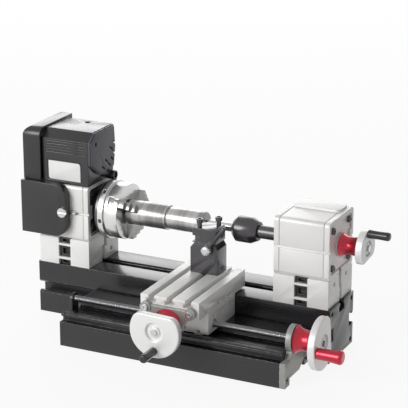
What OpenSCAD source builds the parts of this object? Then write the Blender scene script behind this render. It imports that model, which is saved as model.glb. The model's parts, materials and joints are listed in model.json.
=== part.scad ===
// Modular mini lathe: black bed and slide profiles, silver headstock and tailstock blocks,
// belt drive, three-jaw chuck, cross slide with a tool post, and three crank handwheels.
// X runs along the spindle towards the tailstock, Y away from the operator, Z up.
// The origin is on the table, under the spindle axis, at the middle of the bed's length.

/* [Bed] */
// Length of the bed profile
bed_l = 282; // [270:1:360]
// Depth of the bed profile, also that of the blocks on it
bed_w = 54; // [50:1:66]
// Height of the bed profile
bed_h = 48; // [44:1:60]
// Opening of the T-slots in the bed
bed_slot_w = 8; // [5:0.5:10]
// Distance between the fixing holes along the bed
foot_span_x = 240; // [160:5:255]
// Distance between the fixing holes across the bed
foot_span_y = 36; // [34:1:40]
// Diameter of the fixing holes under the bed
foot_hole_d = 6.2; // [4:0.1:8]
// Depth of the fixing holes
foot_hole_depth = 12; // [8:1:16]

/* [Uprights] */
// Length of each spacer along the bed
spacer_l = 50; // [46:1:60]
// Height of each spacer
spacer_h = 25; // [20:1:40]
// Length of the headstock and tailstock blocks
block_l = 50; // [46:1:54]
// Height of the headstock and tailstock blocks
block_h = 51; // [47:1:60]
// Distance from each end of the bed to its spacer
upright_inset = 2; // [0:0.5:10]
// Width of the joining keys and their pockets
key_w = 12; // [8:0.5:16]

/* [Spindle and chuck] */
// Diameter of the spindle
spindle_d = 12; // [10:0.5:14]
// Bore through the spindle
spindle_bore_d = 8; // [5:0.1:9]
// Outer diameter of the two spindle bearings
bearing_d = 28; // [24:1:30]
// Width of each spindle bearing
bearing_l = 8; // [6:1:10]
// Diameter of the chuck body
chuck_d = 50; // [44:1:54]
// Diameter of the scroll ring
ring_d = 53; // [50:1:60]
// Width of the scroll ring
ring_l = 5; // [5:0.5:9]
// Length of the chuck body in front of the ring
chuck_l = 13; // [12:1:20]
// How far the jaws stand out of the chuck's face
jaw_reach = 12.5; // [11:0.5:18]
// Width of each jaw
jaw_w = 7; // [6:0.5:10]

/* [Bar in the chuck] */
// Diameter of the bar at the chuck
bar_d = 22; // [18:0.5:23]
// Diameter of its turned end
bar_end_d = 20; // [14:0.5:22]
// Length of the bar
bar_l = 74.5; // [60:0.5:84]

/* [Tailstock] */
// Diameter of the quill
quill_d = 11.5; // [10:0.5:16]
// Travel of the quill
quill_travel = 20; // [8:1:20]
// Diameter of the live centre's body
centre_d = 22.5; // [20:0.5:25]
// Diameter of the live centre's point
point_d = 7.7; // [5:0.1:9]

/* [Belt drive] */
// Height of the motor shaft above the spindle
motor_rise = 52; // [50:1:60]
// Diameter of the spindle pulley
spindle_pulley_d = 34; // [26:1:36]
// Diameter of the motor pulley
motor_pulley_d = 15; // [12:0.5:20]
// Width of both pulleys
pulley_l = 7; // [6:0.5:8]
// Thickness of the drive belt
belt_t = 3; // [2:0.5:4]

/* [Long slide] */
// Length of the long slide's profile
slide_l = 203; // [190:1:230]
// Depth of the long slide's profile
slide_w = 63; // [62:1:80]
// Height of the long slide's guide rail
slide_h = 30; // [30:1:32]
// Diameter of the feed screws
screw_d = 5.5; // [5:0.5:7]
// Rest place of the carriage along the bed
carriage_x = 27; // [0:0.5:30]

/* [Cross slide] */
// Width of the carriage and the cross table
table_w = 54; // [50:1:60]
// Length of the cross table
table_l = 90; // [80:1:110]
// Height of the cross table
table_h = 15; // [13:0.5:16]
// Distance between the table's T-slots
table_slot_pitch = 17; // [15:0.5:18]
// Opening of the table's T-slots
table_slot_w = 5; // [4:0.5:6]
// Gap from the tool's tip to the bar
tool_gap = 2; // [1.8:0.1:6]

/* [Handwheels] */
// Radius of the cross slide's handwheel
cross_wheel_r = 22.5; // [18:0.5:24]
// Radius of the long slide's handwheel
lead_wheel_r = 22.5; // [18:0.5:24]
// Radius of the tailstock's handwheel
tail_wheel_r = 16; // [15:0.5:20]
// Thickness of the handwheels
wheel_t = 6.5; // [5:0.5:8]
// Length of the red hubs
hub_l = 17.5; // [12:0.5:20]
// Diameter of the ends of the two slides' hubs
hub_d = 24; // [20:1:28]
// Diameter of the ends of the tailstock's hub
tail_hub_d = 21; // [18:1:28]
// Diameter of the straight grips
grip_d = 7.5; // [7:0.5:9]
// Length of the straight grips
grip_l = 19; // [18:1:30]

/* [Hidden] */
$fn = 64;

// Clearances: turning in a bore, sliding on a way, and one piece beside another
run_gap = 0.05;
way_gap = 0.2;
side_gap = 0.3;

// Colours
black = "#1d1d20";
dark = "#3a3a3e";
silver = "#d3d4d6";
steel = "#b9bcc0";
red = "#b3202b";
bronze = "#b08a4a";
white = "#eeeeee";

// Places on the spindle axis, which lies a little below the middle of the blocks
block_z = bed_h + spacer_h;
axis_z = block_z + block_h / 2 - 0.5;
head_x = -bed_l / 2 + upright_inset + spacer_l / 2;
tail_x = bed_l / 2 - upright_inset - spacer_l / 2;
head_face_x = head_x + block_l / 2;
tail_face_x = tail_x - block_l / 2;
tail_end_x = tail_x + block_l / 2;
head_back_x = head_x - block_l / 2;

// Profile details
wall = 2;
block_round = 4;
rim_w = 4;
recess = 3;
frame_l = 4.6;
seam_w = 0.8;
seam_depth = 1.2;
lug_w = 8;
lug_low = 5;
lug_high = 7;
plate_fit = 0.2;
plate_hole_inset = 5;
slot_neck = 3.5;
slot_cavity_w = bed_slot_w + 4;
slot_depth = 9;
slot_lip = 1.5;
port_d = 4.2;
port_inset = 5;
groove_w = 2.4;
key_depth = 8;
key_bar = 1.8;
key_sunk = 2.5;
key_inset_z = 7;
channel_w = 5;
tail_key_y = -3.2;
end_key_low = 4;
panel_t = 2.2;
panel_inset = 3.5;
panel_front_y = 4;
panel_round = 4;

// Chuck places, from the headstock outwards
nose_gap = 8.5;
ring_x = head_face_x + nose_gap;
chuck_back_x = ring_x + ring_l + side_gap;
chuck_face_x = chuck_back_x + chuck_l;
chuck_hub_d = 24;
back_plate_t = 3;
back_plate_d = 50;
shoulder_l = nose_gap - back_plate_t - side_gap - 1.6;
jaw_root = 9.5;
jaw_lip = 1.5;
jaw_lip_l = 4;
jaw_foot_r = 5.5;
jaw_foot_out = 24.2;
jaw_base = 2;
jaw_steps = 3;
jaw_step_r = 4.4;
jaw_step_x = 3.5;
jaw_angles = [148, 268, 28];
tommy_d = 3.6;
tommy_count = 6;
tommy_turn = 38;

// Bar places
bar_x = chuck_face_x + 1.5;
bar_end_x = bar_x + bar_l;
bar_step_x = bar_end_x - 34;
bar_groove_l = 2;
bar_groove_d = bar_end_d - 1.5;
bar_chamfer = 1.2;
centre_hole_r = 2.6;

// Tailstock places
cone_slope = 1.7;
point_gap = 0.6;
point_tip_x = bar_end_x - centre_hole_r * cone_slope + point_gap;
centre_nose_x = bar_end_x + 27;
centre_l = 23.2;
centre_cone_l = 3.6;
centre_collar_l = 6.5;
point_shank_l = 13;
centre_tail_x = centre_nose_x + centre_l;
bush_d = 20;
bush_l = 5;
flange_d = 33;
flange_t = 4.2;
quill_inside = 12;
quill_end_x = tail_face_x + quill_inside;
quill_bore_l = quill_inside + quill_travel + 1.5;
screw_engaged = 9;
tail_screw_d = 6;
tail_hub_x = tail_end_x + side_gap;

// Belt drive places; the motor sits a little towards the operator
motor_y = -4.5;
motor_z = axis_z + motor_rise;
pulley_x = head_back_x - side_gap - 1.2;
motor_left_x = head_back_x + 5;
motor_l = 46;
motor_right_x = motor_left_x + motor_l;
motor_front_y = -bed_w / 2;
motor_back_y = 18;
motor_top_z = motor_z + 21.5;
motor_base_z = block_z + block_h;
motor_can_d = 34;
motor_can_l = 40;
motor_shaft_d = 5;
motor_bevel_y = 8.5;
motor_bevel_z = 7.5;
cap_t = 3;
cap_bevel = 1.2;
vent_w = 1.6;
jack_y = 10;
jack_z = motor_base_z + 2.2;
jack_d = 8.4;
jack_l = 6.8;
slat_l = 9.5;
slat_pitch = 2.5;
cover_gap = 0.3;
cover_left_x = head_back_x - 13.5;
cover_front_y = -bed_w / 2 - 8;
cover_back_y = bed_w / 2;
cover_low_z = block_z + 4;
cover_mid_z = motor_base_z + 1;
cover_top_z = motor_top_z + 1.5;
cover_flap_x = head_x + 7;
cover_round = 12;
cover_top_round = 8;
cover_crown = 5;
cover_step = 0.8;
cover_front_step = 4.5;
cover_screw_d = 8.5;
cover_screw_x = cover_flap_x - 3.4;
cover_screw_z = axis_z + 2.3;
seam_bolt_x = cover_flap_x + 3.6;
plate_w = 32;
plate_h = 16.8;
plate_round = 2.5;
plate_sunk = 0.4;
plate_border = 1.2;
plate_x = motor_left_x + 6.2;
plate_z = motor_base_z + 3.4;

// Long slide places
slide_x = -80;
slide_right_x = slide_x + slide_l;
slide_back_y = -bed_w / 2 - side_gap;
slide_front_y = slide_back_y - slide_w;
skirt_h = 22;
lip_front_y = slide_front_y + 3;
lip_back_y = slide_front_y + 9.7;
lip_low_z = slide_h - 3.7;
lip_bevel = 1.2;
lip_over = 3;
foot_t = 10;
slide_floor = 6;
valley_z = 23;
guide_front_y = slide_back_y - 30;
screw_y = slide_back_y - 40.5;
screw_z = slide_h + 6.2;
slide_plate_t = 5;
boss_r = 12;
boss_ring_d = 17;
cap_l = 3;
tongue_r = 5;
slide_plate_end_x = slide_right_x + slide_plate_t;
cap_screw_d = 6;
head_l = 2.4;

// Carriage places
saddle_z = slide_h + way_gap;
table_z = bed_h + 1.5;
table_top_z = table_z + table_h;
saddle_top_z = table_z - way_gap;
saddle_front_y = slide_back_y - 52.5;
saddle_back_y = slide_back_y - 0.4;
ear_r = 4.3;
ear_hole_d = 3.8;
ear_pitch = 17.6;
ear_z = saddle_z + 1.2;
ear_l = 5;
pocket_w = 5;
pocket_h = 3.2;
pocket_depth = 4;
nut_d = 8.4;
nut_l = 18;
cross_screw_z = table_z - 4.7;
table_front_y = slide_back_y - 70;
table_neck = 3;
table_cavity_w = table_slot_w + 4;
table_cavity_h = 3.5;
cross_plate_t = 4;
cross_plate_y = table_front_y - cross_plate_t;
cross_plate_low_z = screw_z + 4.5;
cross_plate_top_z = table_z + 8;
cross_plate_half = 15;
cross_boss_x = table_w / 2 - 6.7;
cross_boss_z = table_z + 5.6;
cross_boss_r = 5;
boss_out = 1;

// Tool post places; the tip stands at the spindle's height
tip_y = -bar_d / 2 - tool_gap;
tool_s = 5;
post_x = carriage_x;
post_w = 25.5;
post_back_y = tip_y - 1.5;
post_l = 18.5;
post_front_y = post_back_y - post_l;
post_shoulder_z = axis_z - 11;
holder_z = axis_z - tool_s - 1;
holder_w = 22;
holder_h = 13;
holder_x = post_x + 0.5;
tool_x = holder_x - holder_w / 2 + 1.5;
tool_l = 18.5;
tool_screw_d = 4;
tool_head_d = 6;
tool_head_h = 3.5;
tool_screw_out = 4;
// One screw clamps the tool, the other holds the holder down: x, y and the lower end
tool_screws_at = [
    [tool_x + 3.5, post_front_y + 3.5, axis_z + 0.2],
    [holder_x + 6.5, post_back_y - 3.5, holder_z - 4]
];
lever_pivot_x = post_x + 4;
lever_pivot_z = post_shoulder_z;
lever_angle = 37;
lever_l = 29;
lever_d = 4;
lever_boss_d = 8.5;
lever_boss_l = 6;
t_nut_w = table_cavity_w - 0.6;

// Handwheel places
wheel_gap = 0.4;
pin_d = 3;
lead_grip_l = 22.5;
lead_grip_inner_d = 9.5;
lead_grip_d = 12;
wheel_flat = 0.65;
wheel_corner = 0.36;
cross_hub_y = cross_plate_y - wheel_gap;
ring_out = 0.5;
lead_hub_x = slide_plate_end_x + ring_out + wheel_gap;
hub_waist = 3;
dish_r = 8;
dish_depth = 2.2;

// A flat outline in Y and Z, run along X from x0
module along_x(x0, length) {
    translate([x0, 0, 0]) rotate([90, 0, 90]) linear_extrude(length) children();
}

// A flat outline in X and Z, run along Y from y0
module along_y(y0, length) {
    translate([0, y0 + length, 0]) rotate([90, 0, 0]) linear_extrude(length) children();
}

// A round bar along X from a point
module rod_x(at, length, d) {
    translate(at) rotate([0, 90, 0]) cylinder(h = length, d = d);
}

// A round bar along Y from a point
module rod_y(at, length, d) {
    translate(at) rotate([-90, 0, 0]) cylinder(h = length, d = d);
}

// A round bar along X with a bore
module tube_x(at, length, d, bore) {
    difference() {
        rod_x(at, length, d);
        rod_x([at[0] - 1, at[1], at[2]], length + 2, bore);
    }
}

// A rectangle with rounded corners, from its lower left corner
module rounded(size, r) {
    translate([r, 0]) square([size[0] - 2 * r, size[1]]);
    translate([0, r]) square([size[0], size[1] - 2 * r]);
    for (x = [r, size[0] - r], y = [r, size[1] - r]) translate([x, y]) circle(r);
}

// The outline of a T-slot that opens upwards at the origin
module slot_outline(opening, cavity, neck, depth, lip) {
    translate([-opening / 2, -neck - 1]) square([opening, neck + 2]);
    translate([-cavity / 2, -depth]) square([cavity, depth - neck]);
    polygon([
        [-opening / 2 - lip - 1, 1], [opening / 2 + lip + 1, 1], [opening / 2, -lip], [-opening / 2, -lip]
    ]);
}

module bed_slot() {
    slot_outline(bed_slot_w, slot_cavity_w, slot_neck, slot_depth, slot_lip);
}

module bed_outline() {
    difference() {
        translate([-bed_w / 2, 0]) square([bed_w, bed_h]);
        translate([0, bed_h]) bed_slot();
        translate([-bed_w / 2, bed_h / 2]) rotate(90) bed_slot();
        translate([bed_w / 2, bed_h / 2]) rotate(-90) bed_slot();
        for (y = [-1, 1], z = [port_inset, bed_h - port_inset])
            translate([y * (bed_w / 2 - port_inset), z]) circle(d = port_d);
    }
}

module bed() {
    color(black) difference() {
        along_x(-bed_l / 2, bed_l) bed_outline();
        for (x = [-1, 1], y = [-1, 1])
            translate([x * foot_span_x / 2, y * foot_span_y / 2, -1])
                cylinder(h = foot_hole_depth + 1, d = foot_hole_d);
    }
}

// One square pocket of a spacer's front or back face, between heights z0 and z1
module key_pocket(x, side, z0, z1) {
    translate([x - key_w / 2, side > 0 ? bed_w / 2 - key_depth : -bed_w / 2 - 1, z0])
        cube([key_w, key_depth + 1, z1 - z0]);
}

// The three pockets of a spacer as [from, to] heights above the bed
function pocket_spans() = [
    [-1, key_inset_z - key_bar],
    [key_inset_z, spacer_h - key_inset_z],
    [spacer_h - key_inset_z + key_bar, spacer_h + 1]
];

// A spacer with a channel for the end key, and two screw holes, in each end face; the channel's
// lower half is offset from its upper half
module spacer(x, upper_y, lower_y, holes) {
    difference() {
        translate([x - spacer_l / 2, -bed_w / 2, bed_h]) cube([spacer_l, bed_w, spacer_h]);
        for (side = [-1, 1], span = pocket_spans())
            key_pocket(x, side, bed_h + span[0], bed_h + span[1]);
        for (end = [-1, 1]) translate([x + end * spacer_l / 2, 0, bed_h]) {
            translate([-recess, lower_y, -1]) cube([2 * recess, channel_w, spacer_h / 2 + 3]);
            translate([-recess, upper_y, spacer_h / 2]) cube([2 * recess, channel_w, spacer_h / 2 + 1]);
            for (at = holes) rod_x([-2 * recess, at[0], at[1]], 4 * recess, port_d);
        }
    }
}

module headstock_spacer() {
    color(silver) spacer(head_x, 0.5, -3, [[-13, 7], [13.5, 7]]);
}

module tailstock_spacer() {
    color(silver) spacer(tail_x, tail_key_y, -1, [[-13.4, spacer_h - 6], [12.6, spacer_h - 4.5]]);
}

// The black keys sit in the pockets, sunk below the faces, and bridge the joints
module joining_keys() {
    color(black) for (x = [head_x, tail_x], side = [-1, 1]) {
        spans = pocket_spans();
        for (i = [0:2]) {
            z0 = bed_h + (i == 0 ? 0 : spans[i][0]);
            z1 = bed_h + (i == 2 ? spacer_h : spans[i][1]);
            y0 = side > 0 ? bed_w / 2 - key_depth : -bed_w / 2 + key_sunk;
            translate([x - key_w / 2, y0, z0]) difference() {
                cube([key_w, key_depth - key_sunk, z1 - z0]);
                translate([key_w / 4, side > 0 ? 2 : -1, (z1 - z0) / 4])
                    cube([key_w / 2, key_depth - key_sunk - 1, (z1 - z0) / 2]);
            }
        }
    }
    // The end key of the tailstock
    color(black)
        translate([tail_end_x - recess, tail_key_y + side_gap, block_z - end_key_low])
            cube([recess - 1.5, channel_w - 2 * side_gap, end_key_low + rim_w]);
}

// Outline of a headstock or tailstock block, with the groove at spindle height on both faces
module block_outline() {
    difference() {
        translate([-bed_w / 2, block_z]) rounded([bed_w, block_h], block_round);
        for (side = [-1, 1]) translate([side * bed_w / 2 - 2, axis_z - groove_w / 2]) square([4, groove_w]);
    }
}

// The recess in each end of a block, with a lug on both sides at spindle height
module recess_outline(gap) {
    difference() {
        translate([-bed_w / 2 + rim_w + gap, block_z + rim_w + gap])
            rounded([bed_w - 2 * (rim_w + gap), block_h - 2 * (rim_w + gap)], block_round - 1);
        for (side = [-1, 1])
            translate([side * bed_w / 2 - lug_w - gap, axis_z - lug_low - gap])
                square([2 * (lug_w + gap), lug_low + lug_high + 2 * gap]);
    }
}

// What a seam leaves of a block's outline is straight at the bottom, where the seam runs out
module seam_ring() {
    difference() {
        translate([-bed_w / 2 - 1, block_z - 1]) square([bed_w + 2, block_h + 2]);
        translate([-bed_w / 2 + seam_depth, block_z - block_round])
            rounded([bed_w - 2 * seam_depth, block_h + block_round - seam_depth], block_round - seam_depth);
    }
}

// A block: its body and two end frames, with a narrow seam at each frame
module block_shell(x) {
    x0 = x - block_l / 2;
    difference() {
        along_x(x0, block_l) block_outline();
        for (start = [x0 + frame_l, x0 + block_l - frame_l - seam_w]) along_x(start, seam_w) seam_ring();
        for (end = [x0 - 1, x0 + block_l - recess]) along_x(end, recess + 1) recess_outline(0);
    }
}

module headstock_housing() {
    color(silver) difference() {
        block_shell(head_x);
        rod_x([head_back_x - 1, 0, axis_z], block_l + 2, spindle_d + 4);
        for (x = [head_back_x + recess - 1, head_face_x - recess - bearing_l])
            rod_x([x, 0, axis_z], bearing_l + 1, bearing_d);
        // The cover screw and the seam bolt pass into the front face
        rod_y([cover_screw_x, -bed_w / 2 - 1, cover_screw_z], 9, 3);
        rod_y([seam_bolt_x, -bed_w / 2 - 1, axis_z + 1], 9, 3);
    }
}

// Places of the four screws of an end plate that fills the recess of a block
function plate_screws() = [
    for (y = [-1, 1], z = [-1, 1]) [
        y * (bed_w / 2 - rim_w - plate_hole_inset),
        block_z + block_h / 2 + z * (block_h / 2 - rim_w - plate_hole_inset)
    ]
];

module plate_holes(x0, length) {
    for (at = plate_screws()) rod_x([x0, at[0], at[1]], length, 3.2);
}

module end_plate_blank(x0, t) {
    along_x(x0, t) recess_outline(plate_fit);
}

module headstock_end_plate() {
    color(dark) difference() {
        union() {
            end_plate_blank(head_face_x - recess, recess - 1.2);
            rod_x([head_face_x - recess, 0, axis_z], recess + 0.5, 30);
        }
        rod_x([head_face_x - recess - 1, 0, axis_z], recess + 4, spindle_d + 1);
        plate_holes(head_face_x - recess - 1, recess + 2);
    }
}

module spindle_bearings() {
    color(steel) for (x = [head_back_x + recess, head_face_x - recess - bearing_l]) difference() {
        tube_x([x, 0, axis_z], bearing_l, bearing_d, spindle_d + 2 * run_gap);
        for (end = [x - 1, x + bearing_l - 1])
            tube_x([end, 0, axis_z], 2, bearing_d - 5, spindle_d + 5);
    }
}

// Motor housing outline: a flat front with a bevel along its top edge
module motor_outline(inset) {
    y0 = motor_front_y + inset;
    y1 = motor_back_y - inset;
    z0 = motor_base_z + inset;
    z1 = motor_top_z - inset;
    polygon([
        [y0, z0], [y1 - 4, z0], [y1 - 1, z0 + 1.5], [y1, z0 + 4], [y1, z1 - 3], [y1 - 1.5, z1],
        [y0 + motor_bevel_y - inset / 2, z1], [y0, z1 - motor_bevel_z + inset / 2]
    ]);
}

module motor_housing() {
    color(black) difference() {
        along_x(motor_left_x, motor_l) motor_outline(0);
        along_x(motor_left_x + wall, motor_l - 2 * wall) motor_outline(wall);
        rod_x([motor_left_x - 1, motor_y, motor_z], wall + 2, 16);
        rod_x([motor_right_x - wall - 1, motor_y, motor_z], wall + 2, motor_can_d + 1);
        // Short slats at the right end of the front, and shallow grooves left of them
        for (i = [0:4]) {
            translate([motor_right_x - 1.5 - slat_l, motor_front_y - 1, motor_z + 2 + i * slat_pitch])
                cube([slat_l, 2, 1.2]);
            translate([motor_left_x + 4, motor_front_y - 1, motor_z + 2 + i * slat_pitch])
                cube([motor_l - slat_l - 9, 1.3, 0.6]);
        }
        // Sunk field round the rating plate, and a plug hole in the top
        translate([plate_x - plate_border, motor_front_y - 1, plate_z - plate_border])
            cube([plate_w + 2 * plate_border, 1 + plate_sunk, plate_h + 2 * plate_border]);
        translate([motor_right_x - 20.5, jack_y, motor_top_z - 1]) cylinder(h = 2, d = 5);
    }
}

// End cap outline: lower and rounder at the back than the housing behind it
module cap_outline(inset) {
    s = 1 - inset / 24;
    translate([motor_y, motor_z]) scale([s, s]) polygon([
        [-22.2, 14], [-14, 21], [21.1, 21], [22.8, 1], [19.8, -16.5],
        [9.5, -23.5], [-7.5, -17.3], [-22.2, -6.5]
    ]);
}

// Vents as [y, z] from the motor's axis, across the lower back corner of the cap
function vent_places() = [
    [1.5, -13.4], [7.1, -8.4], [12.5, -13], [21, -4], [17.5, -9], [10, -18.5], [16.5, 0.7], [22, 5]
];

module motor_end_cap() {
    x0 = motor_right_x + 0.01;
    color(dark) difference() {
        union() {
            along_x(x0, cap_t - cap_bevel) cap_outline(0);
            along_x(x0, cap_t) cap_outline(cap_bevel);
        }
        for (at = vent_places())
            translate([x0 - 1, motor_y + at[0] - 2, motor_z + at[1]]) rotate([-38, 0, 0])
                translate([0, -3, -vent_w / 2]) cube([cap_t + 2, 6, vent_w]);
        // Small square opening near the front, and room for the power socket
        translate([x0 - 1, motor_front_y + 8, motor_z + 9]) cube([cap_t + 2, 3, 3.5]);
        rod_x([x0 - 1, jack_y, jack_z], cap_t + 2, jack_d + 2 * side_gap);
    }
}

module motor_can() {
    color(steel) difference() {
        union() {
            rod_x([motor_left_x + wall + 0.5, motor_y, motor_z], motor_can_l, motor_can_d);
            rod_x([motor_left_x - 1, motor_y, motor_z], 4, 14);
        }
        rod_x([motor_left_x - 2, motor_y, motor_z], motor_can_l + 3, motor_shaft_d + 2 * run_gap);
    }
}

// White plate in its sunk field, with two of its corners rounded
module rating_plate() {
    color(white) along_y(motor_front_y - 0.2, plate_sunk + 0.2 - 0.01) translate([plate_x, plate_z]) {
        translate([plate_round, 0]) square([plate_w - 2 * plate_round, plate_h]);
        translate([0, plate_round]) square([plate_round, plate_h - plate_round]);
        translate([plate_w - plate_round, 0]) square([plate_round, plate_h - plate_round]);
        translate([plate_round, plate_round]) circle(plate_round);
        translate([plate_w - plate_round, plate_h - plate_round]) circle(plate_round);
    }
}

// The socket stands on the housing's end face, below the cap
module power_jack() {
    x0 = motor_right_x + 0.01;
    color(dark) difference() {
        rod_x([x0, jack_y, jack_z], jack_l, jack_d);
        rod_x([x0 + jack_l - 4, jack_y, jack_z], 5, 5.5);
    }
    color(steel) rod_x([x0 + jack_l - 4.5, jack_y, jack_z], 3.5, 2);
}

// A cover box in front of the block's left end, open towards the block
module belt_cover_lower() {
    x0 = cover_left_x;
    depth = cover_back_y - cover_front_y;
    height = cover_mid_z - cover_low_z;
    front_t = -bed_w / 2 - cover_gap - cover_front_y;
    color(black) difference() {
        union() {
            translate([x0, cover_front_y, cover_low_z]) cube([head_back_x - cover_gap - x0, depth, height]);
            along_y(cover_front_y, front_t) {
                translate([head_back_x - cover_gap - 1, cover_low_z])
                    square([cover_flap_x - cover_round - head_back_x + cover_gap + 1, height]);
                translate([head_back_x, cover_low_z])
                    rounded([cover_flap_x - head_back_x, height], cover_round);
            }
        }
        translate([x0 + wall, cover_front_y + wall, cover_low_z + wall])
            cube([head_back_x - x0, depth - 2 * wall, height - 2 * wall]);
        // The belt passes up through the top wall
        translate([x0 + wall, -22, cover_mid_z - wall - 1]) cube([head_back_x - x0, 44, wall + 2]);
        // The spindle's bore stays open for long stock
        rod_x([x0 - 1, 0, axis_z], wall + 2, spindle_d);
        rod_y([cover_screw_x, cover_front_y - 1, cover_screw_z], front_t + 2, 3.2);
        // Hollow behind the flap
        translate([head_back_x - cover_gap - 1, cover_front_y + wall, cover_low_z + wall])
            cube([cover_flap_x - cover_round - head_back_x, front_t, height - 2 * wall]);
    }
}

// A rectangle of the given length and height whose upper left corner is rounded
module crowned(length, height) {
    r = cover_top_round;
    square([length, height - r]);
    translate([r, 0]) square([length - r, height]);
    translate([r, height - r]) circle(r);
}

// The upper cover is rounded along its top edge, at the left end and in front
module belt_cover_upper() {
    x0 = cover_left_x + cover_step;
    y0 = cover_front_y + cover_front_step;
    z0 = cover_mid_z + cover_gap;
    length = motor_left_x - cover_gap - x0;
    depth = cover_back_y - y0;
    height = cover_top_z - z0;
    color(black) difference() {
        intersection() {
            along_y(y0, depth) translate([x0, z0]) crowned(length, height);
            along_x(x0, length) translate([y0, z0]) crowned(depth, height);
        }
        translate([x0 + wall, y0 + wall, z0 - 1])
            cube([length, depth - 2 * wall, height - cover_crown + 1]);
    }
}

module cover_screws() {
    color(steel) difference() {
        union() {
            rod_y([cover_screw_x, cover_front_y - 2, cover_screw_z], 2, cover_screw_d);
            rod_y([cover_screw_x, cover_front_y - 1, cover_screw_z], 14, 3);
        }
        translate([cover_screw_x - 5, cover_front_y - 2.5, cover_screw_z - 0.5]) cube([10, 1.3, 1]);
    }
    color(black) difference() {
        union() {
            rod_y([seam_bolt_x, -bed_w / 2 - 1.6, axis_z + 1], 1.6, 5);
            rod_y([seam_bolt_x, -bed_w / 2 - 0.5, axis_z + 1], 7, 3);
        }
        rod_y([seam_bolt_x, -bed_w / 2 - 2, axis_z + 1], 1.5, 2.6);
    }
}

// Both pulleys have a flat groove that the belt runs in
module pulley(at, d, bore) {
    difference() {
        rod_x(at, pulley_l, d);
        tube_x([at[0] + 1.5, at[1], at[2]], pulley_l - 3, d + 2, d - 2 * belt_t);
        rod_x([at[0] - 1, at[1], at[2]], pulley_l + 2, bore);
    }
}

module belt_loop(thickness) {
    hull() {
        translate([0, axis_z]) circle(d = spindle_pulley_d - 2 * belt_t + 2 * way_gap + 2 * thickness);
        translate([motor_y, motor_z]) circle(d = motor_pulley_d - 2 * belt_t + 2 * way_gap + 2 * thickness);
    }
}

module drive_belt() {
    color(black) along_x(pulley_x - pulley_l + 1.8, pulley_l - 3.6) difference() {
        belt_loop(belt_t - 0.8);
        belt_loop(0);
    }
}

module tailstock_housing() {
    color(silver) difference() {
        union() {
            block_shell(tail_x);
            // Raised panel on the rear half of the top
            translate([tail_face_x + panel_inset, panel_front_y, block_z + block_h - 1])
                linear_extrude(panel_t + 1)
                    rounded(
                        [block_l - 2 * panel_inset, bed_w / 2 - block_round - panel_front_y], panel_round
                    );
        }
        rod_x([tail_face_x - 1, 0, axis_z], bush_l + recess + 1, bush_d);
        // Notch in the end frame for the end key
        translate([tail_end_x - recess, tail_key_y, block_z - 1]) cube([recess + 1, channel_w, rim_w + 2]);
        rod_x([tail_face_x, 0, axis_z], quill_bore_l, quill_d + 2 * run_gap);
        rod_x([tail_face_x, 0, axis_z], block_l + 1, tail_screw_d + 1);
        plate_holes(tail_end_x - recess - 8, 9);
    }
}

module tailstock_end_plate() {
    color(steel) difference() {
        union() {
            end_plate_blank(tail_end_x - recess, recess - 1.2);
            rod_x([tail_end_x - recess, 0, axis_z], recess, 18);
        }
        rod_x([tail_end_x - recess - 1, 0, axis_z], recess + 4, tail_screw_d + 2 * run_gap);
        plate_holes(tail_end_x - recess - 1, recess + 2);
    }
}

// The bush of the quill: a flange that fills the recess and stands out of it, and a sleeve
module quill_bush() {
    x0 = tail_face_x - flange_t;
    length = flange_t + recess + bush_l;
    color(black) difference() {
        union() {
            rod_x([x0, 0, axis_z], flange_t + recess, flange_d);
            rod_x([x0, 0, axis_z], length, bush_d);
        }
        rod_x([x0 - 1, 0, axis_z], length + 2, quill_d + 2 * run_gap);
    }
}

// Long slide: a skirt in front, a lipped rail, a valley for the leadscrew and a flat guide
module slide_solid() {
    polygon([
        [slide_front_y, 0], [slide_front_y + foot_t, 0], [slide_front_y + foot_t, slide_floor],
        [slide_back_y - foot_t, slide_floor], [slide_back_y - foot_t, 0], [slide_back_y, 0],
        [slide_back_y, slide_h - 2], [slide_back_y - 2, slide_h],
        [guide_front_y + 4, slide_h], [guide_front_y, slide_h - 4],
        [guide_front_y + 2, slide_h - 7], [guide_front_y - 2, valley_z],
        [lip_back_y, valley_z], [lip_back_y, slide_h - lip_bevel], [lip_back_y - lip_bevel, slide_h],
        [lip_front_y + lip_bevel, slide_h], [lip_front_y, slide_h - lip_bevel], [lip_front_y, lip_low_z],
        [lip_front_y + lip_over, lip_low_z], [lip_front_y + lip_over, skirt_h], [slide_front_y, skirt_h]
    ]);
}

module slide_outline() {
    difference() {
        slide_solid();
        // Screw ports and the hollow core
        translate([slide_front_y + foot_t + 2, slide_floor + 3]) square([12, 9]);
        translate([slide_back_y - 24, slide_floor + 3]) square([14, 14]);
        for (at = slide_ports()) translate(at) circle(d = port_d);
    }
}

// Screw ports of the slide's profile, shared by its end plates
function slide_ports() = [[slide_front_y + 5, 6], [slide_back_y - 5, slide_floor + 6]];

module slide_profile() {
    color(black) along_x(slide_x, slide_l) slide_outline();
}

// End plate: foot, waist and a round boss round the leadscrew
module slide_plate_outline() {
    polygon([
        [slide_front_y, 0], [slide_front_y + foot_t, 0], [slide_front_y + foot_t, slide_floor],
        [screw_y + 8, slide_floor], [screw_y + 16, slide_floor + 6], [slide_back_y, slide_floor + 6],
        [slide_back_y, slide_h - 2], [screw_y + 8, slide_h - 2], [screw_y - 8, slide_h - 2],
        [screw_y - boss_r, skirt_h], [slide_front_y, skirt_h]
    ]);
    translate([screw_y, screw_z]) circle(boss_r);
}

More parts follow.
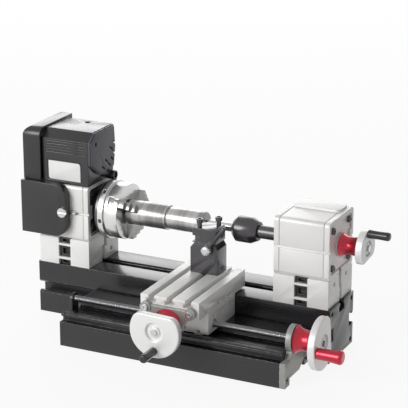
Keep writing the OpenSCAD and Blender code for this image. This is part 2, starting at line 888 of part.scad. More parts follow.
// The screw heads lie sunk in the plate
module slide_end_plate() {
    color(silver) difference() {
        union() {
            along_x(slide_right_x + 0.01, slide_plate_t) slide_plate_outline();
            rod_x([slide_right_x + slide_plate_t - 0.5, screw_y, screw_z], ring_out + 0.5, boss_ring_d);
        }
        rod_x([slide_right_x - 1, screw_y, screw_z], slide_plate_t + 6, screw_d + 2 * run_gap);
        for (at = slide_ports()) {
            rod_x([slide_right_x - 1, at[0], at[1]], slide_plate_t + 2, 3.2);
            rod_x([slide_plate_end_x - head_l, at[0], at[1]], head_l + 1, cap_screw_d + 2 * plate_fit);
        }
    }
}

// End cap with a tongue that holds the leadscrew's end
module slide_end_cap() {
    color(black) difference() {
        along_x(slide_x - cap_l, cap_l - 0.01) {
            difference() {
                slide_solid();
                translate([screw_y - 7.5, valley_z]) square([15, 10]);
            }
            translate([screw_y - tongue_r, 10]) square([2 * tongue_r, screw_z - 10]);
            translate([screw_y, screw_z]) circle(tongue_r);
        }
        rod_x([slide_x - cap_l + 1, screw_y, screw_z], cap_l, screw_d + 2 * run_gap);
    }
}

// Socket head screws of the slide's and the tailstock's end plates
module socket_screw_x(at, length) {
    difference() {
        union() {
            rod_x(at, head_l, cap_screw_d);
            rod_x([at[0] - length, at[1], at[2]], length + 0.5, 3);
        }
        rod_x([at[0] + 1, at[1], at[2]], 2, 2.8);
    }
}

module end_plate_screws() {
    color(dark) {
        for (at = slide_ports())
            socket_screw_x([slide_plate_end_x - head_l + 0.01, at[0], at[1]], slide_plate_t);
        for (at = plate_screws()) socket_screw_x([tail_end_x - 1.2, at[0], at[1]], 8);
    }
}

module spindle() {
    x0 = cover_left_x + wall + 0.6;
    color(steel) difference() {
        union() {
            rod_x([x0, 0, axis_z], chuck_back_x + 2 - x0, spindle_d);
            // Shoulder behind the chuck
            rod_x([head_face_x + 1.5, 0, axis_z], shoulder_l, spindle_d + 6);
        }
        rod_x([x0 - 1, 0, axis_z], 100, spindle_bore_d);
    }
}

module spindle_pulley() {
    color(dark) pulley([pulley_x - pulley_l, 0, axis_z], spindle_pulley_d, spindle_d);
}

module motor_shaft() {
    x0 = pulley_x - pulley_l - 2 * side_gap;
    color(steel) rod_x([x0, motor_y, motor_z], motor_left_x + wall + motor_can_l - 4 - x0, motor_shaft_d);
}

module motor_pulley() {
    color(dark) pulley([pulley_x - pulley_l, motor_y, motor_z], motor_pulley_d, motor_shaft_d);
}

// Radial slot for one jaw, with a wider foot
module jaw_slot(angle) {
    translate([0, 0, axis_z]) rotate([angle - 90, 0, 0]) {
        translate([chuck_face_x - jaw_root - way_gap, -jaw_w / 2 - way_gap / 2, 0])
            cube([jaw_root + 2, jaw_w + way_gap, ring_d]);
        translate([chuck_face_x - jaw_root - way_gap, -jaw_w / 2 - jaw_lip - way_gap / 2, 0])
            cube([jaw_lip_l + 2 * way_gap, jaw_w + 2 * jaw_lip + way_gap, ring_d]);
    }
}

module chuck_body() {
    color(steel) difference() {
        union() {
            rod_x([chuck_back_x, 0, axis_z], chuck_l, chuck_d);
            rod_x([ring_x, 0, axis_z], ring_l + 1, chuck_hub_d);
        }
        rod_x([ring_x - 1, 0, axis_z], ring_l + 4.3, spindle_d);
        rod_x([ring_x, 0, axis_z], chuck_l + 20, spindle_bore_d);
        for (angle = jaw_angles) jaw_slot(angle);
    }
}

module chuck_back_plate() {
    color(steel) difference() {
        tube_x([ring_x - back_plate_t - side_gap, 0, axis_z], back_plate_t, back_plate_d, spindle_d);
        for (a = [0:2]) translate([0, 0, axis_z]) rotate([a * 120 + 30, 0, 0])
            rod_x([ring_x - back_plate_t - 2, 0, 16], back_plate_t + 4, 3);
    }
    // Distance ring that keeps the plate off the scroll ring
    color(steel) tube_x([ring_x - side_gap, 0, axis_z], side_gap, chuck_hub_d, spindle_d);
}

module scroll_ring() {
    color(silver) difference() {
        tube_x([ring_x, 0, axis_z], ring_l, ring_d, chuck_hub_d + 2 * run_gap);
        for (i = [0:tommy_count - 1])
            translate([ring_x + ring_l / 2, 0, axis_z])
                rotate([i * 360 / tommy_count + tommy_turn, 0, 0])
                    translate([0, 0, chuck_hub_d / 2 + 6]) cylinder(h = ring_d, d = tommy_d);
    }
}

// A stepped jaw: its gripping face is nearest the bar, with lower steps outwards
module chuck_jaw(angle) {
    grip_r = bar_d / 2 + run_gap;
    color(steel) translate([0, 0, axis_z]) rotate([angle - 90, 0, 0]) difference() {
        union() {
            translate([chuck_face_x - jaw_root, -jaw_w / 2, jaw_foot_r])
                cube([jaw_root + jaw_base, jaw_w, jaw_foot_out - jaw_foot_r]);
            translate([chuck_face_x - jaw_root, -jaw_w / 2 - jaw_lip, jaw_foot_r + 2])
                cube([jaw_lip_l, jaw_w + 2 * jaw_lip, jaw_foot_out - jaw_foot_r - 2]);
            for (i = [0:jaw_steps - 1])
                translate([chuck_face_x, -jaw_w / 2, grip_r - 1])
                    cube([jaw_reach - i * jaw_step_x, jaw_w, 1 + (i + 1) * jaw_step_r]);
        }
        // The gripping face follows the bar
        rod_x([chuck_face_x + 0.7, 0, 0], jaw_reach + 1, bar_d + 2 * run_gap);
    }
}

module chuck_jaw_1() chuck_jaw(jaw_angles[0]);
module chuck_jaw_2() chuck_jaw(jaw_angles[1]);
module chuck_jaw_3() chuck_jaw(jaw_angles[2]);

module turned_bar() {
    r0 = bar_d / 2;
    r1 = bar_end_d / 2;
    g = bar_groove_d / 2;
    color(silver) translate([0, 0, axis_z]) rotate([0, 90, 0]) rotate_extrude() polygon([
        [0, bar_x], [r0 - 0.6, bar_x], [r0, bar_x + 0.6], [r0, bar_step_x - bar_groove_l],
        [g, bar_step_x - bar_groove_l], [g, bar_step_x], [r1, bar_step_x],
        [r1, bar_end_x - bar_chamfer], [r1 - bar_chamfer, bar_end_x],
        [centre_hole_r, bar_end_x], [0, bar_end_x - centre_hole_r * cone_slope]
    ]);
}

// Saddle: slides on the long slide, carries both feed nuts and the ways of the cross slide
module saddle() {
    x0 = carriage_x - table_w / 2;
    depth = saddle_back_y - saddle_front_y;
    color(silver) difference() {
        union() {
            translate([x0, saddle_front_y, saddle_z]) cube([table_w, depth, saddle_top_z - saddle_z]);
            for (i = [-1, 0, 1])
                rod_y([carriage_x + i * ear_pitch, saddle_front_y, ear_z], ear_l, 2 * ear_r);
        }
        // Ears' screw holes
        for (i = [-1, 0, 1])
            rod_y([carriage_x + i * ear_pitch, saddle_front_y - 1, ear_z], ear_l + 2, ear_hole_d);
        // Leadscrew bore and the open channel of the cross screw
        rod_x([x0 - 1, screw_y, screw_z], table_w + 2, nut_d);
        translate([carriage_x - nut_d / 2, saddle_front_y - 1, cross_screw_z]) cube([nut_d, depth + 2, 20]);
        rod_y([carriage_x, saddle_front_y - 1, cross_screw_z], depth + 2, nut_d);
        side_pockets([for (back = [8.1, 25, 41.1]) slide_back_y - back], table_z - 6);
    }
}

// Long pockets in both side faces of the saddle or the table
module side_pockets(places, z) {
    for (side = [-1, 1], y = places)
        along_x(carriage_x + side * table_w / 2 - pocket_depth, 2 * pocket_depth)
            translate([y - pocket_w / 2, z - pocket_h / 2])
                rounded([pocket_w, pocket_h], pocket_h / 2 - 0.1);
}

// Two bronze nuts, fixed in the saddle: one on each feed screw
module feed_nuts() {
    bore = screw_d + 2 * run_gap;
    color(bronze) {
        tube_x([carriage_x - nut_l / 2, screw_y, screw_z], nut_l, nut_d, bore);
        difference() {
            rod_y([carriage_x, saddle_front_y + 2, cross_screw_z], nut_l, nut_d);
            rod_y([carriage_x, saddle_front_y + 1, cross_screw_z], nut_l + 2, bore);
        }
    }
}

module table_slot() {
    slot_outline(table_slot_w, table_cavity_w, table_neck, table_neck + table_cavity_h, 0.4);
}

module cross_table() {
    x0 = carriage_x - table_w / 2;
    color(silver) difference() {
        along_y(table_front_y, table_l) difference() {
            translate([x0, table_z]) square([table_w, table_h]);
            for (i = [-1, 0, 1])
                translate([carriage_x + i * table_slot_pitch, table_top_z]) table_slot();
        }
        for (side = [-1, 1])
            rod_y([carriage_x + side * cross_boss_x, table_front_y - 1, cross_boss_z], 11, 3);
        side_pockets([for (out = [14.4, 38.7, 52.9, 58.8]) table_front_y + out], table_z + 2.6);
    }
}

// Half of the end plate's outline, from its middle: it tapers from the boss to the centre part
module cross_plate_half_outline() {
    polygon([
        [-0.5, cross_plate_low_z], [cross_plate_half, cross_plate_low_z], [cross_plate_half, table_z - 5],
        [cross_plate_half + 3, table_z - 1], [cross_boss_x + 3.6, cross_boss_z - 3.4],
        [cross_boss_x, cross_plate_top_z], [-0.5, cross_plate_top_z]
    ]);
}

module cross_end_plate() {
    color(silver) difference() {
        union() {
            along_y(cross_plate_y, cross_plate_t - 0.01) translate([carriage_x, 0]) {
                cross_plate_half_outline();
                mirror([1, 0]) cross_plate_half_outline();
            }
            for (side = [-1, 1])
                rod_y([carriage_x + side * cross_boss_x, cross_plate_y - boss_out, cross_boss_z],
                    cross_plate_t + boss_out - 0.01, 2 * cross_boss_r);
        }
        rod_y([carriage_x, cross_plate_y - 1, cross_screw_z], cross_plate_t + 2, screw_d + 2 * run_gap);
        for (side = [-1, 1])
            rod_y([carriage_x + side * cross_boss_x, cross_plate_y - 3, cross_boss_z], 9, 3.2);
    }
}

module cross_plate_screws() {
    head_y = cross_plate_y - boss_out - 1.61;
    color(steel) for (side = [-1, 1]) difference() {
        union() {
            rod_y([carriage_x + side * cross_boss_x, head_y, cross_boss_z], 1.6, 6);
            rod_y([carriage_x + side * cross_boss_x, head_y + 1, cross_boss_z], 13, 3);
        }
        rod_y([carriage_x + side * cross_boss_x, head_y - 1, cross_boss_z], 2, 2.8);
    }
}

module tool_post() {
    color(black) difference() {
        along_y(post_front_y, post_l) polygon([
            [post_x - post_w / 2, table_top_z], [post_x + post_w / 2, table_top_z],
            [post_x + post_w / 2, post_shoulder_z], [post_x + post_w / 2 - 3, holder_z],
            [post_x - post_w / 2 + 4, holder_z], [post_x - post_w / 2, post_shoulder_z]
        ]);
        rod_y([lever_pivot_x, post_front_y - 1, lever_pivot_z], 10, 4 + 2 * run_gap);
        translate([post_x, (post_front_y + post_back_y) / 2, table_top_z - 1]) cylinder(h = 12, d = 4);
        // Threaded hole for the screw that holds the holder down
        translate([tool_screws_at[1][0], tool_screws_at[1][1], holder_z - 5])
            cylinder(h = 6, d = tool_screw_d);
    }
}

module tool_holder() {
    x0 = holder_x - holder_w / 2;
    color(dark) difference() {
        translate([x0, post_front_y - 0.5, holder_z]) cube([holder_w, post_l + 0.5, holder_h]);
        // Open tool slot on the chuck side
        translate([x0 - 1, post_front_y - 2, axis_z - tool_s])
            cube([tool_x + tool_s - x0 + 1.05, post_l + 4, tool_s + 0.1]);
        // Slanted top corners
        for (side = [-1, 1])
            translate([holder_x + side * (holder_w / 2 + 1), post_front_y - 2, holder_z + holder_h + 1])
                rotate([0, 45, 0]) translate([-2.5, 0, -2.5]) cube([5, post_l + 4, 5]);
        for (at = tool_screws_at)
            translate([at[0], at[1], at[2] - 0.1]) cylinder(h = 30, d = tool_screw_d);
    }
}

module tool_bit() {
    color(dark) difference() {
        translate([tool_x, tip_y - tool_l, axis_z - tool_s]) cube([tool_s, tool_l, tool_s]);
        // Two ground faces leave the tip at the left front corner
        translate([tool_x + 1.5, tip_y, axis_z - tool_s - 1]) rotate([0, 0, -35]) cube([12, 6, tool_s + 2]);
        translate([tool_x - 8, tip_y - 2, axis_z - tool_s - 1]) rotate([0, 0, 55]) cube([9, 6, tool_s + 2]);
    }
}

module tool_screws() {
    head_z = holder_z + holder_h + tool_screw_out;
    color(dark) for (at = tool_screws_at) translate([at[0], at[1], 0]) difference() {
        union() {
            translate([0, 0, head_z]) cylinder(h = tool_head_h, d = tool_head_d);
            translate([0, 0, at[2]]) cylinder(h = head_z + 0.1 - at[2], d = tool_screw_d);
        }
        translate([0, 0, head_z + tool_head_h - 1.8]) cylinder(h = 3, d = 3.2, $fn = 6);
    }
}

module post_t_nut() {
    mid_y = (post_front_y + post_back_y) / 2;
    z0 = table_top_z - table_neck - table_cavity_h;
    color(steel) {
        translate([post_x - t_nut_w / 2, mid_y - 6, z0]) cube([t_nut_w, 12, table_cavity_h - 0.2]);
        translate([post_x, mid_y, z0 + 1]) cylinder(h = table_neck + table_cavity_h + 8, d = 4);
    }
}

// Clamping lever: a silver boss on its pivot, and a black rod that stands out of it
module clamp_lever() {
    y0 = post_front_y - 0.5 - side_gap;
    color(steel) {
        rod_y([lever_pivot_x, y0 - lever_boss_l, lever_pivot_z], lever_boss_l, lever_boss_d);
        rod_y([lever_pivot_x, y0 - 1, lever_pivot_z], 9, 4);
    }
    color(black)
        translate([lever_pivot_x, y0 - lever_boss_l / 2, lever_pivot_z])
            rotate([0, lever_angle, 0]) cylinder(h = lever_l, d = lever_d);
}

// Outline of a handwheel: a round one with a flat side and rounded corners
module wheel_outline(radius) {
    corner = radius * wheel_corner;
    flat = radius * wheel_flat;
    corner_x = corner - flat;
    corner_y = sqrt(pow(radius - corner, 2) - corner_x * corner_x);
    blend_x = corner_x * radius / (radius - corner);
    translate([-flat, -corner_y]) square([blend_x + 1 + flat, 2 * corner_y]);
    for (s = [-1, 1]) translate([corner_x, s * corner_y]) circle(corner);
    intersection() {
        circle(radius);
        translate([blend_x - 0.2, -radius]) square(2 * radius);
    }
}

// A disc in the XY plane with its flat side opposite the pin and a dished face on top
module wheel_blank(radius, bore, pin_angle, pin_r, pin_l) {
    thickness = wheel_t;
    difference() {
        linear_extrude(thickness) rotate(pin_angle) wheel_outline(radius);
        translate([0, 0, thickness - dish_depth]) cylinder(h = dish_depth + 1, r = dish_r);
        translate([0, 0, -1]) cylinder(h = thickness + 2, d = bore);
    }
    rotate(pin_angle) translate([pin_r, 0, thickness - 1]) cylinder(h = pin_l + 1, d = pin_d);
}

// A red hub with a waist, bored for its screw
module hub_blank(d, bore) {
    waist_r = (hub_l * hub_l / 4 + hub_waist * hub_waist) / (2 * hub_waist);
    rotate_extrude() difference() {
        translate([bore / 2, 0]) square([(d - bore) / 2, hub_l]);
        translate([d / 2 - hub_waist + waist_r, hub_l / 2]) circle(waist_r);
    }
}

// A straight grip, bored to turn on its pin
module grip_blank(length, d0, d1) {
    difference() {
        rotate_extrude() polygon([
            [0, 0], [d0 / 2 - 0.6, 0], [d0 / 2, 0.6], [d1 / 2, length - 1], [d1 / 2 - 1, length], [0, length]
        ]);
        translate([0, 0, -1]) cylinder(h = length - 3, d = pin_d + 2 * run_gap);
    }
}

// Frames of the three cranks: the hub's inner end at the origin, pointing outwards
module cross_frame() {
    translate([carriage_x, cross_hub_y, cross_screw_z]) rotate([90, 0, 0]) children();
}

module lead_frame() {
    translate([lead_hub_x, screw_y, screw_z]) rotate([90, 0, 90]) children();
}

module tail_frame() {
    translate([tail_hub_x, 0, axis_z]) rotate([90, 0, 90]) children();
}

cross_pin_angle = -92;
lead_pin_angle = 187;
tail_pin_angle = 96;
cross_pin_r = cross_wheel_r - 6;
lead_pin_r = lead_wheel_r - 6;
tail_pin_r = tail_wheel_r - 2.5;

module cross_screw() {
    inner_y = saddle_back_y - 1;
    outer_y = cross_hub_y - hub_l - wheel_t - 1;
    color(steel) rod_y([carriage_x, outer_y, cross_screw_z], inner_y - outer_y, screw_d);
}

module cross_hub() color(red) cross_frame() hub_blank(hub_d, screw_d);

module cross_handwheel() {
    color(silver) cross_frame() translate([0, 0, hub_l + 0.01])
        wheel_blank(cross_wheel_r, screw_d, cross_pin_angle, cross_pin_r, grip_l - 6);
}

module cross_grip() {
    color(black) cross_frame() rotate(cross_pin_angle)
        translate([cross_pin_r, 0, hub_l + wheel_t + way_gap]) grip_blank(grip_l, grip_d, grip_d);
}

module lead_screw() {
    x0 = slide_x - 1.8;
    color(steel) rod_x([x0, screw_y, screw_z], lead_hub_x + hub_l + wheel_t + 1 - x0, screw_d);
}

module lead_hub() color(red) lead_frame() hub_blank(hub_d, screw_d);

module lead_handwheel() {
    color(silver) lead_frame() translate([0, 0, hub_l + 0.01])
        wheel_blank(lead_wheel_r, screw_d, lead_pin_angle, lead_pin_r, lead_grip_l - 6);
}

module lead_grip() {
    color(red) lead_frame() rotate(lead_pin_angle)
        translate([lead_pin_r, 0, hub_l + wheel_t + way_gap])
            grip_blank(lead_grip_l, lead_grip_inner_d, lead_grip_d);
}

// The quill is bored from behind for its screw
module quill() {
    x0 = centre_tail_x - 8;
    color(steel) difference() {
        rod_x([x0, 0, axis_z], quill_end_x - x0, quill_d);
        rod_x([quill_end_x - screw_engaged - quill_travel - 1, 0, axis_z],
            screw_engaged + quill_travel + 2, tail_screw_d + 2 * run_gap);
    }
}

// The body is bevelled in front and has a tapered collar at the quill
module centre_body() {
    r = centre_d / 2;
    color(black) translate([0, 0, axis_z]) difference() {
        rotate([0, 90, 0]) rotate_extrude() polygon([
            [0, centre_nose_x], [r - centre_cone_l, centre_nose_x], [r, centre_nose_x + centre_cone_l],
            [r, centre_tail_x - centre_collar_l], [r - 3, centre_tail_x], [0, centre_tail_x]
        ]);
        rod_x([centre_nose_x - 1, 0, 0], point_shank_l + 1.5, point_d + 2 * run_gap);
        rod_x([centre_tail_x - 8, 0, 0], 9, quill_d);
    }
}

module centre_point() {
    r = point_d / 2;
    color(steel) translate([0, 0, axis_z]) rotate([0, 90, 0]) rotate_extrude() polygon([
        [0, point_tip_x], [r, point_tip_x + cone_slope * r],
        [r, centre_nose_x + point_shank_l], [0, centre_nose_x + point_shank_l]
    ]);
}

module tail_screw() {
    x0 = quill_end_x - screw_engaged;
    x1 = tail_hub_x + hub_l + wheel_t + 1;
    color(steel) rod_x([x0, 0, axis_z], x1 - x0, tail_screw_d);
}

module tail_hub() color(red) tail_frame() hub_blank(tail_hub_d, tail_screw_d);

module tail_handwheel() {
    color(silver) tail_frame() translate([0, 0, hub_l + 0.01])
        wheel_blank(tail_wheel_r, tail_screw_d, tail_pin_angle, tail_pin_r, grip_l - 6);
}

module tail_grip() {
    color(black) tail_frame() rotate(tail_pin_angle)
        translate([tail_pin_r, 0, hub_l + wheel_t + way_gap]) grip_blank(grip_l, grip_d, grip_d);
}

bed();
headstock_spacer();
tailstock_spacer();
joining_keys();
headstock_housing();
headstock_end_plate();
spindle_bearings();
motor_housing();
motor_end_cap();
motor_can();
rating_plate();
power_jack();
belt_cover_lower();
belt_cover_upper();
cover_screws();
drive_belt();
tailstock_housing();
tailstock_end_plate();
quill_bush();
slide_profile();
slide_end_plate();
slide_end_cap();
end_plate_screws();
spindle();
spindle_pulley();
chuck_body();
chuck_back_plate();
turned_bar();
scroll_ring();
chuck_jaw_1();
chuck_jaw_2();
chuck_jaw_3();
motor_shaft();
motor_pulley();
saddle();
feed_nuts();
cross_table();
cross_end_plate();
cross_plate_screws();
tool_post();
tool_holder();
tool_bit();
tool_screws();
post_t_nut();
clamp_lever();
cross_screw();
cross_hub();
cross_handwheel();
cross_grip();
lead_screw();
lead_hub();
lead_handwheel();
lead_grip();
quill();
centre_body();
centre_point();
tail_screw();
tail_hub();
tail_handwheel();
tail_grip();
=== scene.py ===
import json
import math

import bmesh
import bpy
from mathutils import Matrix, Vector


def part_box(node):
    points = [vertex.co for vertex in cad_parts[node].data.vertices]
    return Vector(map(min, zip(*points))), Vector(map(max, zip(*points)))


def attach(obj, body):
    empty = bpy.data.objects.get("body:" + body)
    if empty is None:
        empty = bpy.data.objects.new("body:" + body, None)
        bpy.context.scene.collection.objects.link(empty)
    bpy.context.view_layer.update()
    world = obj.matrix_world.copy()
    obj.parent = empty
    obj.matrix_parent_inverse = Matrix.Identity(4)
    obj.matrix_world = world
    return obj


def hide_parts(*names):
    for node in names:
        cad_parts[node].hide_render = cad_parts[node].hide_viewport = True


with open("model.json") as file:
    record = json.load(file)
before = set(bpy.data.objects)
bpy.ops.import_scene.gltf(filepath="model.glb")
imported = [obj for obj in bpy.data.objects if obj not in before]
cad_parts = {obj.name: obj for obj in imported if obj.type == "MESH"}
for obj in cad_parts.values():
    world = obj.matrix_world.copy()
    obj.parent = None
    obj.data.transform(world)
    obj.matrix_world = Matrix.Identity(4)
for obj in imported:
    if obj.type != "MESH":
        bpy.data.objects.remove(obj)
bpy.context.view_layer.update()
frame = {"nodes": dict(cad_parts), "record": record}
nodeBody = {node: body for body, nodes in frame["record"]["behaviour"]["bodies"].items()
            for node in nodes}
nodeSlot = {entry["node"]: entry["material_slot"] for entry in frame["record"]["subparts"]}
mm = 0.001
print("frame loaded:", len(frame["nodes"]), "nodes")


# The output of one node: an expression on Flows adds Math nodes to their tree
class Flow:
    def __init__(self, owner, socket):
        self.owner = owner
        self.socket = socket

    def math(self, operation, *values, clamp=False):
        settings = {"operation": operation, "use_clamp": clamp}
        return self.owner.node("ShaderNodeMath", settings, dict(enumerate(values)))

    def __add__(self, other):
        return self.math("ADD", self, other)

    def __sub__(self, other):
        return self.math("SUBTRACT", self, other)

    def __rsub__(self, other):
        return self.math("SUBTRACT", other, self)

    def __mul__(self, other):
        return self.math("MULTIPLY", self, other)

    def __truediv__(self, other):
        return self.math("DIVIDE", self, other)

    def __rtruediv__(self, other):
        return self.math("DIVIDE", other, self)

    __radd__ = __add__
    __rmul__ = __mul__

    def root(self):
        return self.math("SQRT", self)

    def limited(self):  # held between 0 and 1
        return self.math("ADD", self, 0.0, clamp=True)

    def sibling(self, output):  # another output of the same node
        return Flow(self.owner, self.socket.node.outputs[output])


# The nodes of one tree: each is made by node(), with its settings first and then its sockets
class Nodes:
    def __init__(self, tree):
        self.tree = tree

    def node(self, kind, settings=None, sockets=None, out=0):
        made = self.tree.nodes.new(kind)
        for key, value in (settings or {}).items():
            setattr(made, key, value)
        for key, value in (sockets or {}).items():
            for item in value if isinstance(value, list) else [value]:
                self.put(made.inputs[key], item)
        return None if out is None else Flow(self, made.outputs[out])

    def put(self, socket, value):
        if isinstance(value, Flow):
            self.tree.links.new(value.socket, socket)
        else:
            socket.default_value = value


# How unevenly the bevel edges take their colour of wear and painted highlight
edgeWearAndGlint = {"noise": {"scale": 220, "detail": 3}, "range": (0.42, 0.6)}


# One material under construction: a Principled shader and the nodes that feed it
class Finish(Nodes):
    def __init__(self, name):
        self.material = bpy.data.materials.new(name)
        self.material.use_nodes = True
        super().__init__(self.material.node_tree)
        self.shader = self.tree.nodes["Principled BSDF"]
        self.coords = self.node("ShaderNodeTexCoord", out="Object")

    def set(self, **values):  # BaseColor is the socket Base Color
        for name, value in values.items():
            words = "".join(" " + c if c.isupper() else c for c in name).strip()
            self.put(self.shader.inputs[words], value)

    def noise(self, scale=1.0, stretch=(1, 1, 1), detail=3.0, rough=0.55, vector=None):
        if vector is None:
            sockets = {"Vector": self.coords, "Scale": stretch}
            vector = self.node("ShaderNodeMapping", None, sockets)
        sockets = {"Vector": vector, "Scale": scale, "Detail": detail, "Roughness": rough}
        return self.node("ShaderNodeTexNoise", None, sockets)

    def spread(self, value, low, high, start=0.0, end=1.0):  # start to end becomes low to high
        sockets = {"Value": value, "From Min": start, "From Max": end,
                   "To Min": low, "To Max": high}
        return self.node("ShaderNodeMapRange", None, sockets)

    def mask(self, noise, start, end):
        return self.spread(noise, 0.0, 1.0, start, end)

    def around(self, value, middle, swing):
        return self.spread(value, middle + swing[0], middle + swing[1])

    def blend(self, amount, first, second):  # 6 and 7 are the Mix node's colours
        sockets = {0: amount, 6: (*first, 1) if isinstance(first, tuple) else first,
                   7: (*second, 1) if isinstance(second, tuple) else second}
        return self.node("ShaderNodeMix", {"data_type": "RGBA"}, sockets, out=2)

    def tones(self, value, colour, factors):  # the colour from its darker to its lighter tone
        return self.blend(value, tinted(colour, factors[0]), tinted(colour, factors[1]))

    def bump(self, height, distance, over=None):
        sockets = {"Height": height, "Distance": distance, "Strength": 1.0}
        if over is not None:
            sockets["Normal"] = over
        return self.node("ShaderNodeBump", None, sockets)

    # The bevel faces of a piece made by softEdges, unevenly coloured as edge wear and as a
    # painted highlight
    def worn(self, shade, amount, colour):
        edge = self.node("ShaderNodeAttribute", {"attribute_name": "edge"}, out="Fac")
        wear = self.mask(self.noise(**edgeWearAndGlint["noise"]), *edgeWearAndGlint["range"])
        return self.blend(edge * wear * amount, shade, colour)

    # Distance from an axis through a point, and the place along it
    def round(self, along, centre):
        first = self.node("ShaderNodeSeparateXYZ", None, {0: self.coords})
        parts = [first.sibling(i) for i in range(3)]
        a, b = (parts[i] - centre[i] * mm for i in range(3) if i != along)
        return (a * a + b * b).root(), parts[along]


def tinted(colour, factor):
    return tuple(min(1.0, factor * c) for c in colour)


drawnLook = {
    "lines": {"stretch": (6, 2600, 2600), "detail": 2}, "lineDepth": 0.000012,
    "broad": {"scale": 28, "stretch": (0.5, 1, 1), "detail": 4},
    "scuffs": {"scale": 90, "stretch": (0.25, 1, 1), "detail": 5}, "scuffRange": (0.56, 0.74),
    "scuffRough": 0.08, "tones": (0.85, 1.15), "lineShade": 0.35, "lineTone": 1.8,
    "edgeShade": 0.55, "roughSwing": (-0.05, 0.06), "coatRough": 0.22,
}


# Drawn profile: fine lines along X under the coating, scuffs, and lighter edges that are partly
# worn metal and partly a painted highlight
def drawnProfile(name, colour, metallic, rough, worn, coat=0.0):
    f, look = Finish(name), drawnLook
    lines = f.noise(**look["lines"])
    scuff = f.mask(f.noise(**look["scuffs"]), *look["scuffRange"])
    shade = f.tones(f.noise(**look["broad"]), colour, look["tones"])
    shade = f.blend(lines * look["lineShade"], shade, tinted(colour, look["lineTone"]))
    f.set(BaseColor=f.worn(shade, look["edgeShade"], worn), Metallic=metallic,
          Roughness=f.around(lines, rough, look["roughSwing"]) + scuff * look["scuffRough"],
          Normal=f.bump(lines, look["lineDepth"]), CoatWeight=coat,
          CoatRoughness=look["coatRough"])
    return f.material


blastedLook = {
    "fine": {"scale": 2600, "detail": 2}, "broad": {"scale": 34, "detail": 5, "rough": 0.6},
    "marks": {"scale": 120, "stretch": (1, 0.3, 1), "detail": 6}, "markRange": (0.6, 0.75),
    "tones": (0.955, 1.02), "markShade": 0.3, "markTone": 0.9, "markRough": 0.06,
    "edgeShade": 0.5, "edgeColour": (0.95, 0.95, 0.95), "roughSwing": (-0.06, 0.06),
}


# Blasted and anodised aluminium: fine even grain, faint handling marks, brighter edges that are
# partly wear and partly a painted highlight
def blasted(name, colour, metallic, rough, grain=0.00002):
    f, look = Finish(name), blastedLook
    fine = f.noise(**look["fine"])
    marks = f.mask(f.noise(**look["marks"]), *look["markRange"])
    shade = f.tones(f.noise(**look["broad"]), colour, look["tones"])
    shade = f.blend(marks * look["markShade"], shade, tinted(colour, look["markTone"]))
    f.set(BaseColor=f.worn(shade, look["edgeShade"], look["edgeColour"]), Metallic=metallic,
          Roughness=f.around(fine, rough, look["roughSwing"]) - marks * look["markRough"],
          Normal=f.bump(fine, grain))
    return f.material


mouldedLook = {
    "cellScale": 1100.0, "fine": {"scale": 1700, "detail": 3}, "fineDepth": 0.4,
    "broad": {"scale": 30, "detail": 4}, "tones": (0.88, 1.12), "edgeShade": 0.4,
    "roughSwing": (-0.05, 0.06), "coatRough": 0.18,
}


# Moulded plastic: small pebbled texture with soft sheen, and lighter edges that are partly rubbed
# and partly a painted highlight
def moulded(name, colour, rough, pebble=0.00004, coat=0.0, worn=1.7):
    f, look = Finish(name), mouldedLook
    sockets = {"Vector": f.coords, "Scale": look["cellScale"]}
    cells = f.node("ShaderNodeTexVoronoi", None, sockets, out="Distance")
    fine = f.bump(f.noise(**look["fine"]), pebble * look["fineDepth"])
    broad = f.noise(**look["broad"])
    shade = f.tones(broad, colour, look["tones"])
    f.set(BaseColor=f.worn(shade, look["edgeShade"], tinted(colour, worn)), Metallic=0.0,
          Roughness=f.around(broad, rough, look["roughSwing"]),
          Normal=f.bump(cells, pebble, fine), CoatWeight=coat, CoatRoughness=look["coatRough"])
    return f.material


turnedLook = {
    "lineDetail": 2, "slowScale": 0.11, "broad": {"scale": 45, "detail": 4}, "tones": (0.9, 1.06),
    "lineShade": 0.3, "lineTone": 0.72, "ribRange": (0.4, 0.6), "ribTone": 0.45,
    "slowDepth": 2, "ribDepth": 14, "edgeShade": 0.4, "edgeTone": 1.5,
    "roughSwing": (-0.05, 0.07), "coatRough": 0.12,
}


# Turned metal: rings round an axis on flat faces and lines across it on round ones. A coarse
# finish has dark ribs as well
# Its lighter bevel edges are partly wear and partly a painted highlight
def turned(name, colour, metallic, rough, along, centre, rings=900.0, depth=0.000006,
           coarse=0.0, coat=0.0):
    f, look = Finish(name), turnedLook
    radius, place = f.round(along, centre)
    both = f.node("ShaderNodeCombineXYZ", None, {0: radius + place, 1: radius - place})
    lines = f.noise(rings, detail=look["lineDetail"], vector=both)
    slow = f.noise(rings * look["slowScale"], detail=look["lineDetail"], vector=both)
    shade = f.tones(f.noise(**look["broad"]), colour, look["tones"])
    shade = f.blend(lines * look["lineShade"], shade, tinted(colour, look["lineTone"]))
    if coarse:
        ribs = f.mask(slow, *look["ribRange"]) * coarse
        shade = f.blend(ribs, shade, tinted(colour, look["ribTone"]))
    waves = f.bump(slow, depth * (look["slowDepth"] + look["ribDepth"] * coarse))
    f.set(BaseColor=f.worn(shade, look["edgeShade"], tinted(colour, look["edgeTone"])),
          Metallic=metallic, Roughness=f.around(slow, rough, look["roughSwing"]),
          Normal=f.bump(lines, depth, waves), CoatWeight=coat, CoatRoughness=look["coatRough"])
    return f.material


